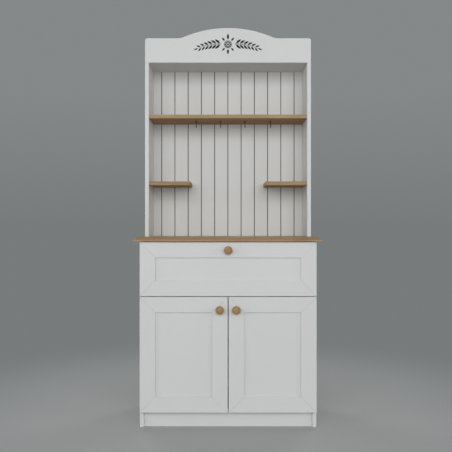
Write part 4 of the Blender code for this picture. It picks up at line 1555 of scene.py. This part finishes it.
# %% [markdown]
# ## Runner levers
# A small plastic lever on the drawer's member of each runner lets the drawer be taken out. It lies flat on
# the web and turns on a raised boss. An extruded outline would have a sharp upper edge, so the lever is
# three rings of its tapering outline, the last one drawn in, with the boss joined on.

# %% Levers and finished runners
LEVER_ENDS = (0.1152, 0.147)
LEVER_RADII = (0.0052, 0.0030)
LEVER_THICKNESS = 0.0020
LEVER_EDGE = 0.0004
LEVER_BOSS = 0.0009
LEVER_STEPS = 14
BOSS_STEPS = 28


def lever_ring(place, inset, height):
    """The lever's tapering outline at one height, drawn in by an inset."""
    wide, slim = LEVER_RADII
    outline = arc((LEVER_ENDS[0], 0.0), wide - inset, QUARTER_TURN, 3 * QUARTER_TURN, LEVER_STEPS)
    outline += arc((LEVER_ENDS[1], 0.0), slim - inset, -QUARTER_TURN, QUARTER_TURN, LEVER_STEPS)
    return [place @ Vector((x, y, height)) for x, y in outline]


def add_lever(word, web, place):
    """A lever flat on the web, with a soft upper edge and a raised boss."""
    top = web + LEVER_THICKNESS
    heights = ((0.0, web), (0.0, top - LEVER_EDGE), (LEVER_EDGE, top))
    lever = solid(add_rings, [lever_ring(place, inset, height) for inset, height in heights])
    radius = LEVER_RADII[0] / 2
    boss = [(0.0, LEVER_BOSS), (radius - LEVER_EDGE, LEVER_BOSS), (radius, LEVER_BOSS - LEVER_EDGE)]
    boss += [(radius, -LEVER_BOSS), (0.0, -LEVER_BOSS)]
    boss_place = place @ Matrix.Translation((LEVER_ENDS[0], 0.0, top))
    mesh = combined(lever, ("UNION", solid(add_turned, boss, BOSS_STEPS, boss_place)))
    add_piece(f"{word}_runner_lever", mesh, lever_plastic, "drawer")


beside_lever = [along for along in between if not LEVER_ENDS[0] < along < LEVER_ENDS[1]]
for word, side in SIDES.items():
    web = min(abs(corner.x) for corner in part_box(f"runner_drawer_{word}")) + RUNNER_WEB
    place = pierce_runner(f"runner_drawer_{word}", side, web, ends, beside_lever)
    add_lever(word, web, place)
    screws = [(place @ Vector((along, 0.0, web)), RUNNER_SCREW_RADIUS) for along in ends[::2]]
    add_screws(f"{word}_runner_screws", screws, (side, 0, 0), "drawer")
    middle_web = max(abs(corner.x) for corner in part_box(f"runner_middle_{word}"))
    pierce_runner(f"runner_middle_{word}", side, middle_web, between, ends)
print("runners, levers and", len(screws) * len(SIDES), "runner screws set")

# %% [markdown]
# ## Small fittings on the doors and the drawer
# Soft bumpers near the free corners of each door land on the boards behind it and quiet it. A half ball
# would be too tall for the gap there, so each is a low spun dome with a short upright wall. A screw through
# the stile holds each door knob, and four more hold the drawer's front to its box. Only their heads can be
# seen, so copies of the one screw head are enough.

# %% Bumpers and screws
BUMPER_RADIUS = 0.0045
BUMPER_HEIGHT = 0.0026
BUMPER_WALL_SHARE = 0.55
BUMPER_STEPS = 28
BUMPER_FROM_MIDDLE = 0.020
KNOB_SCREW_RADIUS = 0.0045
BOX_SCREW_RADIUS = 0.0042
BOX_SCREW_PLACES = (-0.27, -0.09, 0.09, 0.27)


def add_bumpers(word, side):
    door_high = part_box(f"{word}_door_top_rail")[1]
    stops = [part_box("base_bottom"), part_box("drawer_divider")]
    wall = BUMPER_HEIGHT * BUMPER_WALL_SHARE
    rise = BUMPER_HEIGHT - wall
    dome = [(BUMPER_RADIUS * math.sin(a), wall + rise * math.cos(a)) for a in QUARTER[::2]]
    bm = bmesh.new()
    for low, high in stops:
        z = (low.z + min(high.z, door_high.z)) / 2
        place = Matrix.Translation((side * BUMPER_FROM_MIDDLE, door_high.y, z)) @ FACING_BACK
        add_turned(bm, dome + [(BUMPER_RADIUS, 0.0), (0.0, 0.0)], BUMPER_STEPS, place)
    add_piece(f"{word}_door_bumpers", as_mesh(bm, "bumpers"), soft_plastic, f"{word}_door")


for word, side in SIDES.items():
    add_bumpers(word, side)
    knob = centre_of(f"{word}_door_knob")
    spot = Vector((knob.x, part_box(f"{word}_door_top_rail")[1].y, knob.z))
    add_screws(f"{word}_knob_screw", [(spot, KNOB_SCREW_RADIUS)], (0, 1, 0), f"{word}_door")
box_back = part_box("drawer_box_front")[1].y
box_middle = centre_of("drawer_box_front").z
places = [(Vector((x, box_back, box_middle)), BOX_SCREW_RADIUS) for x in BOX_SCREW_PLACES]
add_screws("drawer_front_screws", places, (0, 1, 0), "drawer")
print("bumpers, knob screws and drawer screws set")

# %% [markdown]
# ## Measure and finish
# Nothing that was added may make the cabinet bigger than the imported model. A ruler in the viewport would
# show that for one side at a time. Instead the box of the dressed cabinet is measured here, as the box of the
# imported model was at the start.

# %% Measure and finish
low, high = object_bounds()
